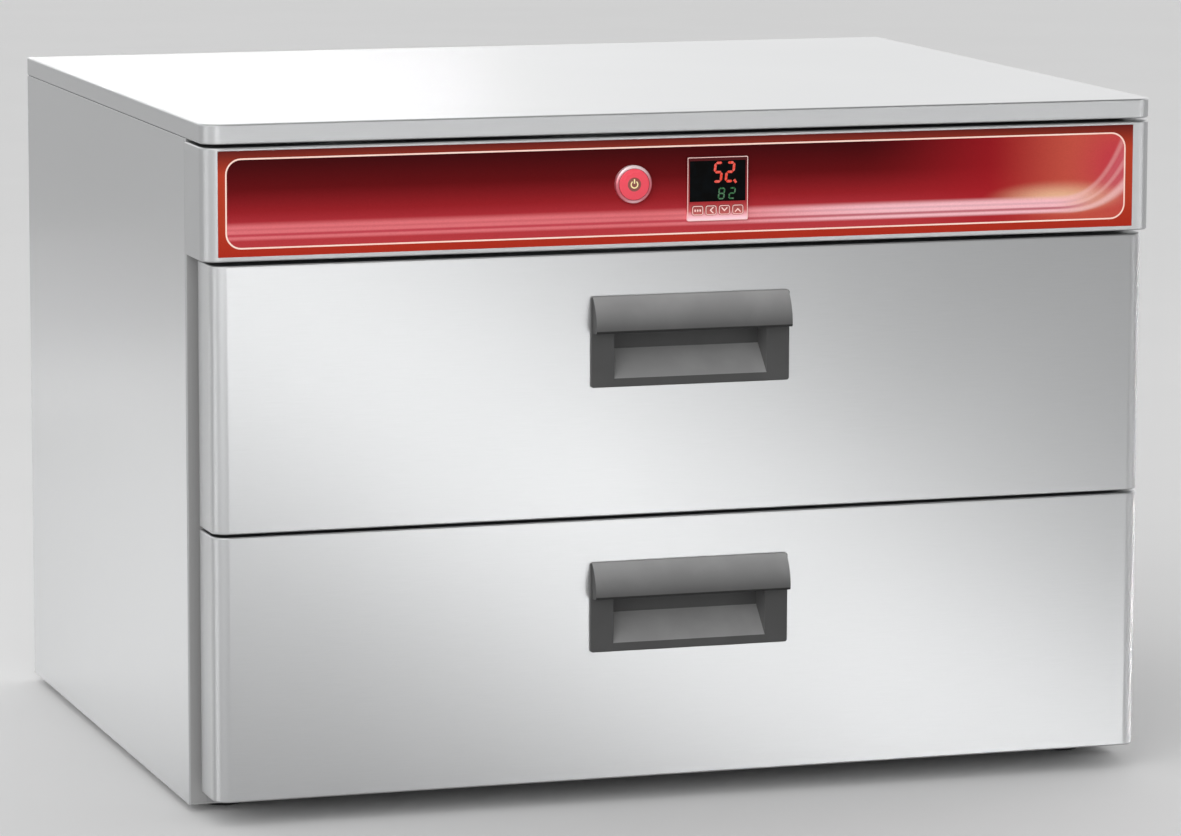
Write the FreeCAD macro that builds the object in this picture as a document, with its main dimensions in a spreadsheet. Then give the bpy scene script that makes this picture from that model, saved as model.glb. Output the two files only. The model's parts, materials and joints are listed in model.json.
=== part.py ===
"""Heated holding drawer cabinet: two insulated, heated drawers under a control fascia.

Frame: +X to the right, -Y towards the user, +Z up. The origin lies on the floor, midway between the
side walls and midway between the front of the handles and the back edge. Millimetres.
"""
import FreeCAD
import Part
import Sketcher
import math
import os

# The driving dimensions: each becomes a named cell of the sheet.
SIZES = {
    # Cabinet
    "body_width": 750,
    "body_depth": 600,
    "panel_sheet": 1.2,
    "liner_sheet": 1,
    "bend_radius": 1.5,
    "panel_flange": 14,
    "back_recess": 4,
    "side_insulation": 28,
    "back_insulation": 28,
    "ceiling_insulation": 20,
    "wall_channel": 100,
    "running_gap": 0.3,
    "assembly_gap": 0.1,
    # Top slab and control fascia
    "slab_height": 15,
    "slab_gap": 2.1,
    "slab_lip": 16,
    "fascia_height": 84.3,
    "fascia_depth": 57,
    "fascia_radius": 14,
    "fascia_lip": 18,
    "fascia_gap": 2.5,
    "fascia_opening": 240,
    # Printed overlay
    "overlay_thickness": 0.4,
    "overlay_left": 10.8,
    "overlay_right": 17.2,
    "overlay_top": 2.5,
    "overlay_bottom": 3.8,
    # Drawer fronts
    "drawer_height": 199.5,
    "drawer_depth": 43.5,
    "drawer_inset": 6.2,
    "drawer_gap": 1.8,
    "drawer_radius": 12,
    "bottom_clearance": 12.3,
    "cavity_overlap": 10,
    "gasket_offset": 1.5,
    "gasket_width": 7,
    "gasket_radius": 12,
    "stuffing_gap": 3,
    # Handles
    "handle_width": 157,
    "handle_height": 68.7,
    "handle_drop": 32.7,
    "handle_proud": 2,
    "handle_corner": 2,
    "handle_wall": 2.5,
    "hood_reach": 10.5,
    "hood_drop": 25,
    "hood_lip": 2,
    "hood_slope": 1,
    "hood_inset": 1,
    "pocket_width": 121,
    "pocket_rim": 6.5,
    "pocket_top": 8,
    "ramp_run": 20,
    "ramp_rise": 20,
    # Drawer carriers and food pans
    "carrier_sheet": 1.5,
    "carrier_skirt": 60,
    "carrier_length": 445.5,
    "pan_front_gap": 39.5,
    "pan_rim_width": 530,
    "pan_rim_depth": 325,
    "pan_rim_radius": 58,
    "pan_rim_ledge": 15,
    "pan_headroom": 7.5,
    "pan_floor_rise": 22,
    "pan_sheet": 0.8,
    "pan_taper": 3,
    "pan_floor_radius": 14,
    "pan_clearance": 3,
    # Telescopic runners
    "runner_height": 45,
    "runner_width": 12.7,
    "runner_length": 430,
    "runner_wall": 1.2,
    "runner_race": 3.7,
    "runner_setback": 4,
    "runner_drop": 31,
    # Heating elements
    "heater_diameter": 8,
    "heater_rise": 12,
    "heater_width": 440,
    "heater_front": 90,
    "heater_back": 60,
    "heater_bend": 32,
    "heater_tail": 60,
    "heater_terminal": 14,
    "clip_width": 14,
    "clip_length": 10,
    "clip_cover": 1.6,
    "clip_spacing": 220,
    # Sensors in the back wall
    "probe_diameter": 5,
    "probe_reach": 50,
    "probe_collar": 6,
    "probe_collar_radius": 5,
    "probe_height": 70,
    "cutout_diameter": 19,
    "cutout_depth": 9,
    "cutout_height": 120,
    "cutout_cap_radius": 6.5,
    "cutout_cap_length": 4.5,
    # Temperature controller
    "controller_across": 20.5,
    "controller_rise": 43.1,
    "controller_size": 48,
    "controller_proud": 2,
    "controller_case": 44.8,
    "controller_length": 85,
    "controller_corner": 1.2,
    "window_width": 44.3,
    "window_height": 30.7,
    "window_drop": 2.9,
    "window_recess": 0.4,
    "key_width": 9.2,
    "key_height": 7.6,
    "key_pitch": 10.6,
    "key_rise": 4.1,
    "key_corner": 2,
    "key_proud": 0.4,
    "key_travel": 0.4,
    # Power switch
    "switch_across": -46,
    "switch_rise": 48.4,
    "switch_bezel_radius": 14.3,
    "switch_bezel_proud": 4,
    "switch_bezel_floor": 0.8,
    "switch_bore_radius": 12,
    "switch_barrel_radius": 11,
    "switch_barrel_length": 20,
    "switch_nut_radius": 14,
    "switch_nut_height": 5,
    "switch_block": 24,
    "switch_block_length": 22,
    "button_thickness": 1.9,
    "button_proud": 0.4,
    "button_stem_radius": 5,
    "button_stem_length": 9,
    # Electrical parts in the control compartment
    "relay_across": 170,
    "relay_width": 58,
    "relay_depth": 45,
    "relay_height": 34,
    "relay_base": 3,
    "relay_shoulder": 6,
    "relay_terminal": 10,
    "relay_terminal_depth": 6,
    "terminal_across": -170,
    "terminal_width": 78,
    "terminal_depth": 22,
    "terminal_height": 34,
    "terminal_pitch": 12,
    "terminal_count": 6,
    "terminal_well_radius": 4,
    "terminal_well_depth": 6,
    "electric_setback": 240,
    "inlet_inset": 125,
    "inlet_rise": 38,
    "inlet_flange_width": 50,
    "inlet_flange_height": 28,
    "inlet_flange": 2.5,
    "inlet_body_width": 28,
    "inlet_body_height": 21,
    "inlet_body_depth": 24,
    "inlet_wall": 2,
    "inlet_socket_depth": 18,
    "inlet_pin_length": 11,
    "inlet_pin_width": 4,
    "inlet_pin_height": 2,
    "inlet_pin_pitch": 14,
    # Wiring
    "loom_radius": 3,
    "wire_radius": 1.8,
    "wire_rise": 30,
    "wire_bend": 5,
    "branch_bend": 12,
    "shelf_branch_depth": 120,
    "branch_reach": 70,
    # Fasteners, vents and feet
    "screw_radius": 2,
    "screw_head_radius": 4,
    "screw_head_height": 2.4,
    "screw_room": 9,
    "screw_edge": 24,
    "small_screw_radius": 1.5,
    "small_screw_inset": 7,
    "handle_screw_depth": 1.5,
    "flange_screw_count": 4,
    "vent_width": 46,
    "vent_height": 4,
    "vent_pitch": 9,
    "vent_across": 110,
    "vent_rise": 22,
    "vent_count": 5,
    "foot_height": 6,
    "foot_radius": 17,
    "foot_inset": 34,
    "foot_chamfer": 1.5,
}

PLANE_ROLES = {"x": "YZ_Plane", "y": "XZ_Plane", "z": "XY_Plane"}
NEAR = 0.01


class Size:
    """A length kept as a number and as the expression that ties it to the sheet."""

    def __init__(self, number, text):
        self.number = float(number)
        self.text = text

    def __add__(self, other):
        other = as_size(other)
        return Size(self.number + other.number, f"({self.text} + {other.text})")

    def __sub__(self, other):
        other = as_size(other)
        return Size(self.number - other.number, f"({self.text} - {other.text})")

    def __mul__(self, other):
        other = as_size(other)
        return Size(self.number * other.number, f"({self.text} * {other.text})")

    def __truediv__(self, other):
        other = as_size(other)
        return Size(self.number / other.number, f"({self.text} / {other.text})")

    def __neg__(self):
        return Size(-self.number, f"(0 - {self.text})")


def as_size(value):
    return value if isinstance(value, Size) else Size(value, f"({float(value)})")


def root(size):
    return Size(math.sqrt(size.number), f"sqrt({size.text})")


def ordered(first, second):
    first, second = as_size(first), as_size(second)
    return (first, second) if first.number <= second.number else (second, first)


def fill_sheet(document):
    """Write every driving dimension into a named cell."""
    sheet = document.addObject("Spreadsheet::Sheet", "Sizes")
    for row, (alias, number) in enumerate(SIZES.items(), start=1):
        sheet.set(f"A{row}", alias)
        sheet.set(f"B{row}", str(number))
        sheet.setAlias(f"B{row}", alias)
    document.recompute()


doc = FreeCAD.newDocument("HeatedDrawer")
fill_sheet(doc)
given = {alias: Size(number, f"Sizes.{alias}") for alias, number in SIZES.items()}
parts = []

# Heights, from the floor up.
body_low = given["foot_height"]
floor_top = body_low + given["panel_sheet"]
lower_low = body_low + given["bottom_clearance"]
upper_low = lower_low + given["drawer_height"] + given["drawer_gap"]
fascia_low = upper_low + given["drawer_height"] + given["fascia_gap"]
fascia_high = fascia_low + given["fascia_height"]
slab_low = fascia_high + given["slab_gap"]
slab_high = slab_low + given["slab_height"]
front_lows = {"upper": upper_low, "lower": lower_low}

# Depths, from the front back.
front_y = (given["handle_proud"] + given["hood_reach"] - given["body_depth"]) / 2
drawer_back = front_y + given["drawer_depth"]
frame_y = front_y + given["fascia_depth"]
frame_front = frame_y + given["panel_sheet"]
frame_back = frame_front + given["panel_sheet"]
back_y = front_y + given["body_depth"]
back_inside = back_y - given["back_recess"] - given["panel_sheet"]
back_outside = back_inside + given["panel_sheet"]
stuffing_back = back_inside - given["screw_room"]
liner_back = stuffing_back - given["back_insulation"]
cavity_back = liner_back - given["liner_sheet"]
overlay_front = front_y - given["overlay_thickness"]

# Widths, from the middle out.
half_width = given["body_width"] / 2
web_inside = half_width - given["panel_sheet"]
liner_half = web_inside - given["side_insulation"]
cavity_half = liner_half - given["liner_sheet"]
front_half = half_width - given["drawer_inset"]
carrier_half = cavity_half - given["runner_width"]
channel_half = given["wall_channel"] / 2


def cavity_floor(name):
    return front_lows[name] + given["cavity_overlap"]


def cavity_ceiling(name):
    return front_lows[name] + given["drawer_height"] - given["cavity_overlap"]


shelf_low = cavity_ceiling("upper") + given["liner_sheet"] + given["ceiling_insulation"]
shelf_top = shelf_low + given["panel_sheet"]


# Food pans.
pan_front = drawer_back + given["pan_front_gap"]
cavity_height = given["drawer_height"] - given["cavity_overlap"] * 2
pan_height = cavity_height - given["pan_floor_rise"] - given["pan_headroom"]

# Controls on the fascia.
controller_x = given["controller_across"]
controller_z = fascia_low + given["controller_rise"]
switch_x = given["switch_across"]
switch_z = fascia_low + given["switch_rise"]
key_z = controller_z - given["controller_size"] / 2 + given["key_rise"] + given["key_height"] / 2
key_places = {
    label: controller_x + given["key_pitch"] * step
    for label, step in (("mode_key", -1.5), ("shift_key", -0.5), ("down_key", 0.5), ("up_key", 1.5))
}

# Electrical parts behind the fascia and in the wiring channel.
shelf_parts_front = frame_back + given["electric_setback"]
relay_x = given["relay_across"]
terminal_x = given["terminal_across"]
inlet_x = half_width - given["inlet_inset"]
inlet_z = shelf_top + given["inlet_rise"]
tail_x = given["heater_tail"] / 2
tail_end = liner_back + given["heater_terminal"]
cutout_end = liner_back + given["cutout_depth"] + given["cutout_cap_length"]
channel_middle = (tail_end + stuffing_back) / 2
wire_z = shelf_top + given["wire_rise"]
screw_hole = given["screw_radius"] + given["assembly_gap"]


def bind(owner, path, size):
    owner.setExpression(path, as_size(size).text)


def new_body(label):
    """Start a sub-part that is written to its own file."""
    body = doc.addObject("PartDesign::Body", "Body")
    body.Label = label
    parts.append(body)
    return body


def sketch_square_to(body, axis, place):
    """Start a sketch square to an axis. The XZ plane faces -Y, so its offset changes sign."""
    role = PLANE_ROLES[axis]
    plane = next(item for item in body.Origin.OriginFeatures if item.Role == role)
    sketch = body.newObject("Sketcher::SketchObject", "Sketch")
    sketch.AttachmentSupport = (plane, [""])
    sketch.MapMode = "FlatFace"
    bind(sketch, "AttachmentOffset.Base.z", -place if axis == "y" else place)
    return sketch


def pin_point(sketch, geometry, end, across, up):
    """Hold one end of a sketch edge at a place given by two sizes."""
    for kind, size in (("DistanceX", across), ("DistanceY", up)):
        number = sketch.addConstraint(Sketcher.Constraint(kind, -1, 1, geometry, end, size.number))
        bind(sketch, f"Constraints[{number}]", size)


def direction(start, end):
    """Whole steps from one corner towards another along the sketch axes."""
    return [(b.number > a.number + NEAR) - (b.number < a.number - NEAR) for a, b in zip(start[:2], end[:2])]


def shifted(corner, steps, distance):
    return [place + distance * step if step else place for place, step in zip(corner[:2], steps)]


def vector(point):
    return FreeCAD.Vector(point[0].number, point[1].number, 0)


def arc_between(start, end, centre, radius):
    """The shorter arc from start to end, and which end of it lies at start."""
    angles = [math.atan2(p.y - centre.y, p.x - centre.x) for p in (start, end)]
    turn = (angles[1] - angles[0]) % (2 * math.pi)
    circle = Part.Circle(centre, FreeCAD.Vector(0, 0, 1), radius)
    if turn <= math.pi:
        return Part.ArcOfCircle(circle, angles[0], angles[0] + turn), 1
    return Part.ArcOfCircle(circle, angles[1], angles[1] + 2 * math.pi - turn), 2


def add_arc(sketch, start, end, centre, radius):
    arc, first_end = arc_between(vector(start), vector(end), centre, radius.number)
    index = sketch.addGeometry(arc, False)
    number = sketch.addConstraint(Sketcher.Constraint("Radius", index, radius.number))
    bind(sketch, f"Constraints[{number}]", radius)
    return index, first_end, 3 - first_end


def bow_centre(start, end, radius, side):
    """Centre of an arc of a given radius through two points, on the named side of their chord."""
    chord = end - start
    middle = (start + end) / 2
    rise = math.sqrt(max(radius ** 2 - (chord.Length / 2) ** 2, 0))
    normal = FreeCAD.Vector(-chord.y, chord.x, 0).normalize()
    return middle + normal * rise * side


def draw_edges(sketch, corners, closed=True, bows=None):
    """Draw straight edges through corners, each corner sharp or rounded.

    A corner is (across, up) or (across, up, rounding), and a rounded one has square sides. bows maps
    a corner's number to (radius, side) where the edge that leaves it is an arc.
    """
    bows = bows or {}
    count = len(corners)
    corners = [[as_size(item) for item in corner] for corner in corners]
    entries, exits = [], []
    for index, corner in enumerate(corners):
        rounded = len(corner) == 3
        before, after = corners[index - 1], corners[(index + 1) % count]
        entries.append(shifted(corner, direction(corner, before), corner[2]) if rounded else corner[:2])
        exits.append(shifted(corner, direction(corner, after), corner[2]) if rounded else corner[:2])
    chain = []
    for index in range(count if closed else count - 1):
        start, end = exits[index], entries[(index + 1) % count]
        if index in bows:
            radius, side = bows[index]
            centre = bow_centre(vector(start), vector(end), radius.number, side)
            chain.append(add_arc(sketch, start, end, centre, radius))
        else:
            line = sketch.addGeometry(Part.LineSegment(vector(start), vector(end)), False)
            chain.append((line, 1, 2))
        edge, first_end, last_end = chain[-1]
        pin_point(sketch, edge, first_end, *start)
        follower = corners[(index + 1) % count]
        if len(follower) == 3:
            pin_point(sketch, edge, last_end, *end)
            chain.append(corner_arc(sketch, follower, end, exits[(index + 1) % count]))
        elif not closed and index == count - 2:
            pin_point(sketch, edge, last_end, *end)
    links = list(zip(chain, chain[1:] + chain[:1] if closed else chain[1:]))
    for (edge, _, last_end), (follower, first_end, _) in links:
        sketch.addConstraint(Sketcher.Constraint("Coincident", edge, last_end, follower, first_end))


def corner_arc(sketch, corner, entry, leave):
    """The quarter arc that rounds one square corner."""
    centre = vector(entry) + vector(leave) - vector(corner)
    return add_arc(sketch, entry, leave, centre, corner[2])


class Disc:
    """A round outline."""

    def __init__(self, across, up, radius):
        self.place = (as_size(across), as_size(up))
        self.radius = as_size(radius)

    def draw(self, sketch):
        circle = Part.Circle(vector(self.place), FreeCAD.Vector(0, 0, 1), self.radius.number)
        index = sketch.addGeometry(circle, False)
        pin_point(sketch, index, 3, *self.place)
        number = sketch.addConstraint(Sketcher.Constraint("Radius", index, self.radius.number))
        bind(sketch, f"Constraints[{number}]", self.radius)


class Outline:
    """A closed outline through corners."""

    def __init__(self, corners, bows=None):
        self.corners = corners
        self.bows = bows

    def draw(self, sketch):
        draw_edges(sketch, self.corners, bows=self.bows)


def box(first, second, low, high, rounding=None):
    """A rectangle between two places across and two places up."""
    left, right = ordered(first, second)
    bottom, top = ordered(low, high)
    corners = [(left, bottom), (right, bottom), (right, top), (left, top)]
    if rounding is not None:
        corners = [corner + (rounding,) for corner in corners]
    return Outline(corners)


def centred_box(across, up, width, height, rounding=None):
    return box(across - width / 2, across + width / 2, up - height / 2, up + height / 2, rounding)


def front_rounded(half, front, back, radius):
    """A plan outline whose two front corners are rounded."""
    return Outline([(-half, front, radius), (half, front, radius), (half, back), (-half, back)])


def extrude(body, kind, axis, first, second, outlines):
    """Pad or pocket outlines between two places along an axis."""
    low, high = ordered(first, second)
    sketch = sketch_square_to(body, axis, high if axis == "y" else low)
    for outline in outlines:
        outline.draw(sketch)
    feature = body.newObject(f"PartDesign::{kind}", kind)
    feature.Profile = sketch
    feature.Reversed = kind == "Pocket"
    bind(feature, "Length", high - low)
    sketch.Visibility = False
    return feature


def add(body, axis, first, second, *outlines):
    return extrude(body, "Pad", axis, first, second, outlines)


def cut(body, axis, first, second, *outlines):
    return extrude(body, "Pocket", axis, first, second, outlines)


def lies(edge, **places):
    """Whether an edge stays at given places along the axes."""
    bounds = edge.BoundBox
    for axis, place in places.items():
        low, high = getattr(bounds, axis.upper() + "Min"), getattr(bounds, axis.upper() + "Max")
        if abs(low - place.number) > NEAR or abs(high - place.number) > NEAR:
            return False
    return True


def dress_edges(body, kind, size_name, size, wanted):
    """Round or chamfer the edges of the last feature that a test picks."""
    doc.recompute()
    base = body.Tip
    names = [f"Edge{number}" for number, edge in enumerate(base.Shape.Edges, start=1) if wanted(edge)]
    feature = body.newObject(f"PartDesign::{kind}", kind)
    feature.Base = (base, names)
    bind(feature, size_name, size)
    return feature


def round_edges(body, radius, wanted):
    return dress_edges(body, "Fillet", "Radius", radius, wanted)


def group(label, pieces):
    """Join separate like pieces under one label."""
    union = doc.addObject("Part::MultiFuse", "Group")
    union.Shapes = pieces
    union.Label = label
    parts.append(union)
    return union


def cylinder(radius, length, place, axis="z"):
    """A round bar from a place along a positive axis."""
    bar = doc.addObject("Part::Cylinder", "Bar")
    turns = {"x": ((0, 1, 0), 90), "y": ((-1, 0, 0), 90), "z": ((0, 0, 1), 0)}
    spin_axis, degrees = turns[axis]
    rotation = FreeCAD.Rotation(FreeCAD.Vector(*spin_axis), degrees)
    bar.Placement = FreeCAD.Placement(FreeCAD.Vector(), rotation)
    bind(bar, "Radius", radius)
    bind(bar, "Height", length)
    for name, size in zip("xyz", place):
        bind(bar, f"Placement.Base.{name}", size)
    return bar


def block(first, second):
    """A plain block between two opposite corners."""
    brick = doc.addObject("Part::Box", "Block")
    for name, side, start, end in zip("xyz", ("Length", "Width", "Height"), first, second):
        low, high = ordered(start, end)
        bind(brick, side, high - low)
        bind(brick, f"Placement.Base.{name}", low)
    return brick


def fused(pieces):
    union = doc.addObject("Part::MultiFuse", "Joined")
    union.Shapes = pieces
    return union


def trimmed(base, tool):
    """A base with a tool's shape taken out of it."""
    result = doc.addObject("Part::Cut", "Trimmed")
    result.Base = base
    result.Tool = tool
    return result


def screw(place, shank, radius, towards):
    """A pan-head screw along Y: the head's seat at a place, the shank going towards -Y or +Y."""
    across, depth, height = (as_size(item) for item in place)
    head_length = given["screw_head_height"]
    head_radius = given["screw_head_radius"]
    head_start = depth if towards < 0 else depth - head_length
    shank_start = depth - shank if towards < 0 else depth
    head = cylinder(head_radius, head_length, (across, head_start, height), "y")
    stem = cylinder(radius, shank, (across, shank_start, height), "y")
    return fused([head, stem])


def side_panel(label, side):
    """Folded side wall: a web with flanges at the front, the back and the top."""
    body = new_body(label)
    outer = half_width * side
    web = web_inside * side
    flange = (half_width - given["panel_flange"]) * side
    sheet = given["panel_sheet"]
    add(body, "x", outer, web, box(frame_y, back_y, body_low, slab_low))
    add(body, "y", frame_y, frame_front, box(web, flange, floor_top, slab_low))
    add(body, "y", back_inside - sheet, back_inside, box(web, flange, floor_top, slab_low))
    add(body, "z", slab_low - sheet, slab_low, box(web, flange, frame_back, back_inside - sheet))
    round_edges(body, given["bend_radius"], lambda edge: lies(edge, x=outer, y=frame_y))
    screw_holes = [Disc(across, height, screw_hole) for across, height in back_screw_places(side)]
    cut(body, "y", back_inside - sheet, back_inside, *screw_holes)


def top_panel():
    """Worktop slab folded from sheet, with a lip turned in all round underneath."""
    body = new_body("top_panel")
    sheet = given["panel_sheet"]
    lip = given["slab_lip"]
    radius = given["fascia_radius"]
    add(body, "z", slab_low, slab_high, front_rounded(half_width, front_y, back_y, radius))
    round_edges(body, given["bend_radius"], lambda edge: lies(edge, z=slab_low) or lies(edge, z=slab_high))
    inside = front_rounded(web_inside, front_y + sheet, back_y - sheet, radius - sheet)
    cut(body, "z", slab_low + sheet, slab_high - sheet, inside)
    opening = box(lip - half_width, half_width - lip, front_y + lip, back_y - lip)
    cut(body, "z", slab_low, slab_low + sheet, opening)


def control_fascia():
    """C-shaped fascia wrapped round both front corners, with lips above and below."""
    body = new_body("control_fascia")
    sheet = given["panel_sheet"]
    lip = given["fascia_lip"]
    radius = given["fascia_radius"]
    add(body, "z", fascia_low, fascia_high, front_rounded(half_width, front_y, frame_y, radius))
    round_edges(body, given["bend_radius"], lambda edge: is_rim(edge, fascia_low, fascia_high, frame_y))
    inside = front_rounded(web_inside, front_y + sheet, frame_y, radius - sheet)
    cut(body, "z", fascia_low + sheet, fascia_high - sheet, inside)
    opening = box(lip - half_width, half_width - lip, front_y + lip, frame_y)
    cut(body, "z", fascia_low, fascia_high, opening)
    cut(body, "y", front_y, front_y + sheet, *control_openings())


def is_rim(edge, low, high, back):
    """Whether an edge runs round the top or the bottom, apart from along the back."""
    flat = lies(edge, z=low) or lies(edge, z=high)
    return flat and not lies(edge, y=back)


def control_openings():
    """Panel cut-outs that the controller's case and the switch barrel pass through."""
    case = given["controller_case"] + given["assembly_gap"] * 2
    hole = given["switch_barrel_radius"] + given["assembly_gap"]
    return [centred_box(controller_x, controller_z, case, case), Disc(switch_x, switch_z, hole)]


def control_overlay():
    """Printed film on the front of the fascia."""
    body = new_body("control_overlay")
    left = given["overlay_left"] - half_width
    right = half_width - given["overlay_right"]
    low = fascia_low + given["overlay_bottom"]
    high = fascia_high - given["overlay_top"]
    add(body, "y", overlay_front, front_y, box(left, right, low, high), *control_openings())


def front_frame():
    """Frame plate behind the drawers, with two cavity openings and one for the controls."""
    body = new_body("front_frame")
    openings = [cavity_opening(name) for name in front_lows]
    window_half = given["fascia_opening"] / 2
    window_edge = given["slab_lip"] - given["panel_sheet"]
    openings.append(box(-window_half, window_half, shelf_top, slab_low - window_edge))
    add(body, "y", frame_front, frame_back, box(-web_inside, web_inside, floor_top, slab_low), *openings)


def cavity_opening(name):
    return box(-cavity_half, cavity_half, cavity_floor(name), cavity_ceiling(name))


def base_panel():
    """Flat floor sheet between the side walls."""
    body = new_body("base_panel")
    add(body, "z", body_low, floor_top, box(-web_inside, web_inside, frame_front, back_inside))


def back_panel():
    """Back sheet with vents for the control compartment, the inlet's cut-out and screw holes."""
    body = new_body("back_panel")
    add(body, "y", back_inside, back_outside, box(-web_inside, web_inside, body_low, slab_low))
    vent_z = shelf_top + given["vent_rise"]
    vents = [
        centred_box(given["vent_across"] * side, vent_z, given["vent_width"], given["vent_height"])
        for side in (-1, 1)
    ]
    slot = cut(body, "y", back_inside, back_outside, *vents)
    repeat_upwards(body, slot, given["vent_pitch"], given["vent_count"])
    inlet_gap = given["assembly_gap"] * 2
    opening = centred_box(
        inlet_x, inlet_z, given["inlet_body_width"] + inlet_gap, given["inlet_body_height"] + inlet_gap
    )
    screw_holes = [
        Disc(across, height, screw_hole) for side in (-1, 1) for across, height in back_screw_places(side)
    ]
    cut(body, "y", back_inside, back_outside, opening, *screw_holes)


def repeat_upwards(body, feature, pitch, count):
    """Repeat a cut in a row going up."""
    doc.recompute()
    pattern = body.newObject("PartDesign::LinearPattern", "Row")
    pattern.Originals = [feature]
    axis = next(item for item in body.Origin.OriginFeatures if item.Role == "Z_Axis")
    pattern.Direction = (axis, [""])
    bind(pattern, "Length", pitch * (count - 1))
    bind(pattern, "Occurrences", count)
    body.Tip = pattern


def back_screw_places(side):
    """Places of the back panel's screws down one side flange."""
    across = (half_width - given["panel_flange"] / 2) * side
    edge = given["screw_edge"]
    low, high = floor_top + edge, slab_low - edge
    count = SIZES["flange_screw_count"]
    pitch = (high - low) / (given["flange_screw_count"] - 1)
    return [(across, low + pitch * step) for step in range(count)]


def control_shelf():
    """Floor of the control compartment, notched at the back for the wiring channel."""
    body = new_body("control_shelf")
    back = back_inside - given["panel_sheet"]
    add(body, "z", shelf_low, shelf_top, box(-web_inside, web_inside, frame_back, back))
    notch = box(-channel_half, channel_half, liner_back, stuffing_back)
    cut(body, "z", shelf_low, shelf_top, notch)


def cavity_liner(name):
    """Five-sided sheet box that the drawer slides into."""
    body = new_body(f"{name}_cavity_liner")
    floor, ceiling = cavity_floor(name), cavity_ceiling(name)
    sheet = given["liner_sheet"]
    add(body, "y", frame_back, liner_back, box(-liner_half, liner_half, floor - sheet, ceiling + sheet))
    cut(body, "y", frame_back, cavity_back, box(-cavity_half, cavity_half, floor, ceiling))
    heater_hole = given["heater_diameter"] / 2 + given["assembly_gap"]
    holes = [Disc(tail_x * side, floor + given["heater_rise"], heater_hole) for side in (-1, 1)]
    probe_hole = given["probe_diameter"] / 2 + given["assembly_gap"]
    holes.append(Disc(0, floor + given["probe_height"], probe_hole))
    cut(body, "y", cavity_back, liner_back, *holes)


def insulation():
    """Mineral wool slabs round the two cavities."""
    sides = new_body("side_insulation")
    for side in (-1, 1):
        slab = box(liner_half * side, web_inside * side, frame_back, stuffing_back)
        add(sides, "z", floor_top, shelf_low, slab)
    back = new_body("back_insulation")
    plan = [box(channel_half * side, liner_half * side, liner_back, stuffing_back) for side in (-1, 1)]
    add(back, "z", floor_top, shelf_low, *plan)
    sheet = given["liner_sheet"]
    levels = [
        (floor_top, cavity_floor("lower") - sheet),
        (cavity_ceiling("lower") + sheet, cavity_floor("upper") - sheet),
        (cavity_ceiling("upper") + sheet, shelf_low),
    ]
    slabs = new_body("level_insulation")
    for low, high in levels:
        add(slabs, "z", low, high, box(-liner_half, liner_half, frame_back, liner_back))


def feet():
    """Four rubber pads under the corners of the cabinet, chamfered round the bottom."""
    body = new_body("feet")
    across = half_width - given["foot_inset"]
    depths = (frame_y + given["foot_inset"], back_y - given["foot_inset"])
    pads = [Disc(across * side, depth, given["foot_radius"]) for side in (-1, 1) for depth in depths]
    floor = as_size(0)
    add(body, "z", floor, body_low, *pads)
    dress_edges(body, "Chamfer", "Size", given["foot_chamfer"], lambda edge: lies(edge, z=floor))


def back_screws():
    """Screws that hold the back panel to the side flanges."""
    shank = given["panel_sheet"] * 2 + given["screw_room"] / 2
    screws = []
    for side in (-1, 1):
        for across, height in back_screw_places(side):
            screws.append(screw((across, back_outside, height), shank, given["screw_radius"], -1))
    group("cabinet_screws", screws)


def c_channel(side, web_start, web_end, tip, half_height, flange, middle_z):
    """Section of a C-shaped rail: a web between two places across, and two flanges out to a tip."""
    high, low = middle_z + half_height, middle_z - half_height
    corners = [
        (web_start, low), (tip, low), (tip, low + flange), (web_end, low + flange),
        (web_end, high - flange), (tip, high - flange), (tip, high), (web_start, high),
    ]
    return Outline([(across * side, height) for across, height in corners])


def runner_middle(name):
    """Height of the runners' middle line."""
    return carrier_top(name) - given["runner_drop"]


def runners(name):
    """Telescopic runners of one drawer: fixed, middle and drawer members, left and right."""
    wall, gap = given["runner_wall"], given["running_gap"]
    race = given["runner_race"]
    middle_z = runner_middle(name)
    outer_half = given["runner_height"] / 2
    middle_half = outer_half - wall - gap
    inner_half = middle_half - race - gap
    start = frame_back + given["runner_setback"]
    end = start + given["runner_length"]
    middle_web = cavity_half - wall - gap
    members = {
        "cabinet_runners": (cavity_half, cavity_half - wall, carrier_half + wall + gap * 2, outer_half, wall),
        "middle_runners": (middle_web, middle_web - wall, carrier_half + wall + gap, middle_half, race),
        "drawer_runners": (carrier_half, carrier_half + wall, middle_web - wall - gap, inner_half, wall),
    }
    for label, (web_start, web_end, tip, half_height, flange) in members.items():
        body = new_body(f"{name}_{label}")
        for side in (-1, 1):
            section = c_channel(side, web_start, web_end, tip, half_height, flange, middle_z)
            add(body, "y", start, end, section)


def carrier_top(name):
    """Top of the drawer carrier, which the pan's rim rests on."""
    return cavity_floor(name) + given["pan_floor_rise"] + pan_height - given["pan_sheet"]


def carrier_screw_places(name):
    """Places of the screws that join a carrier to its drawer front."""
    across = carrier_half - given["screw_edge"]
    middle = carrier_top(name) - given["carrier_skirt"] / 2
    return [(across * side, middle) for side in (-1, 1)]


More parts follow.
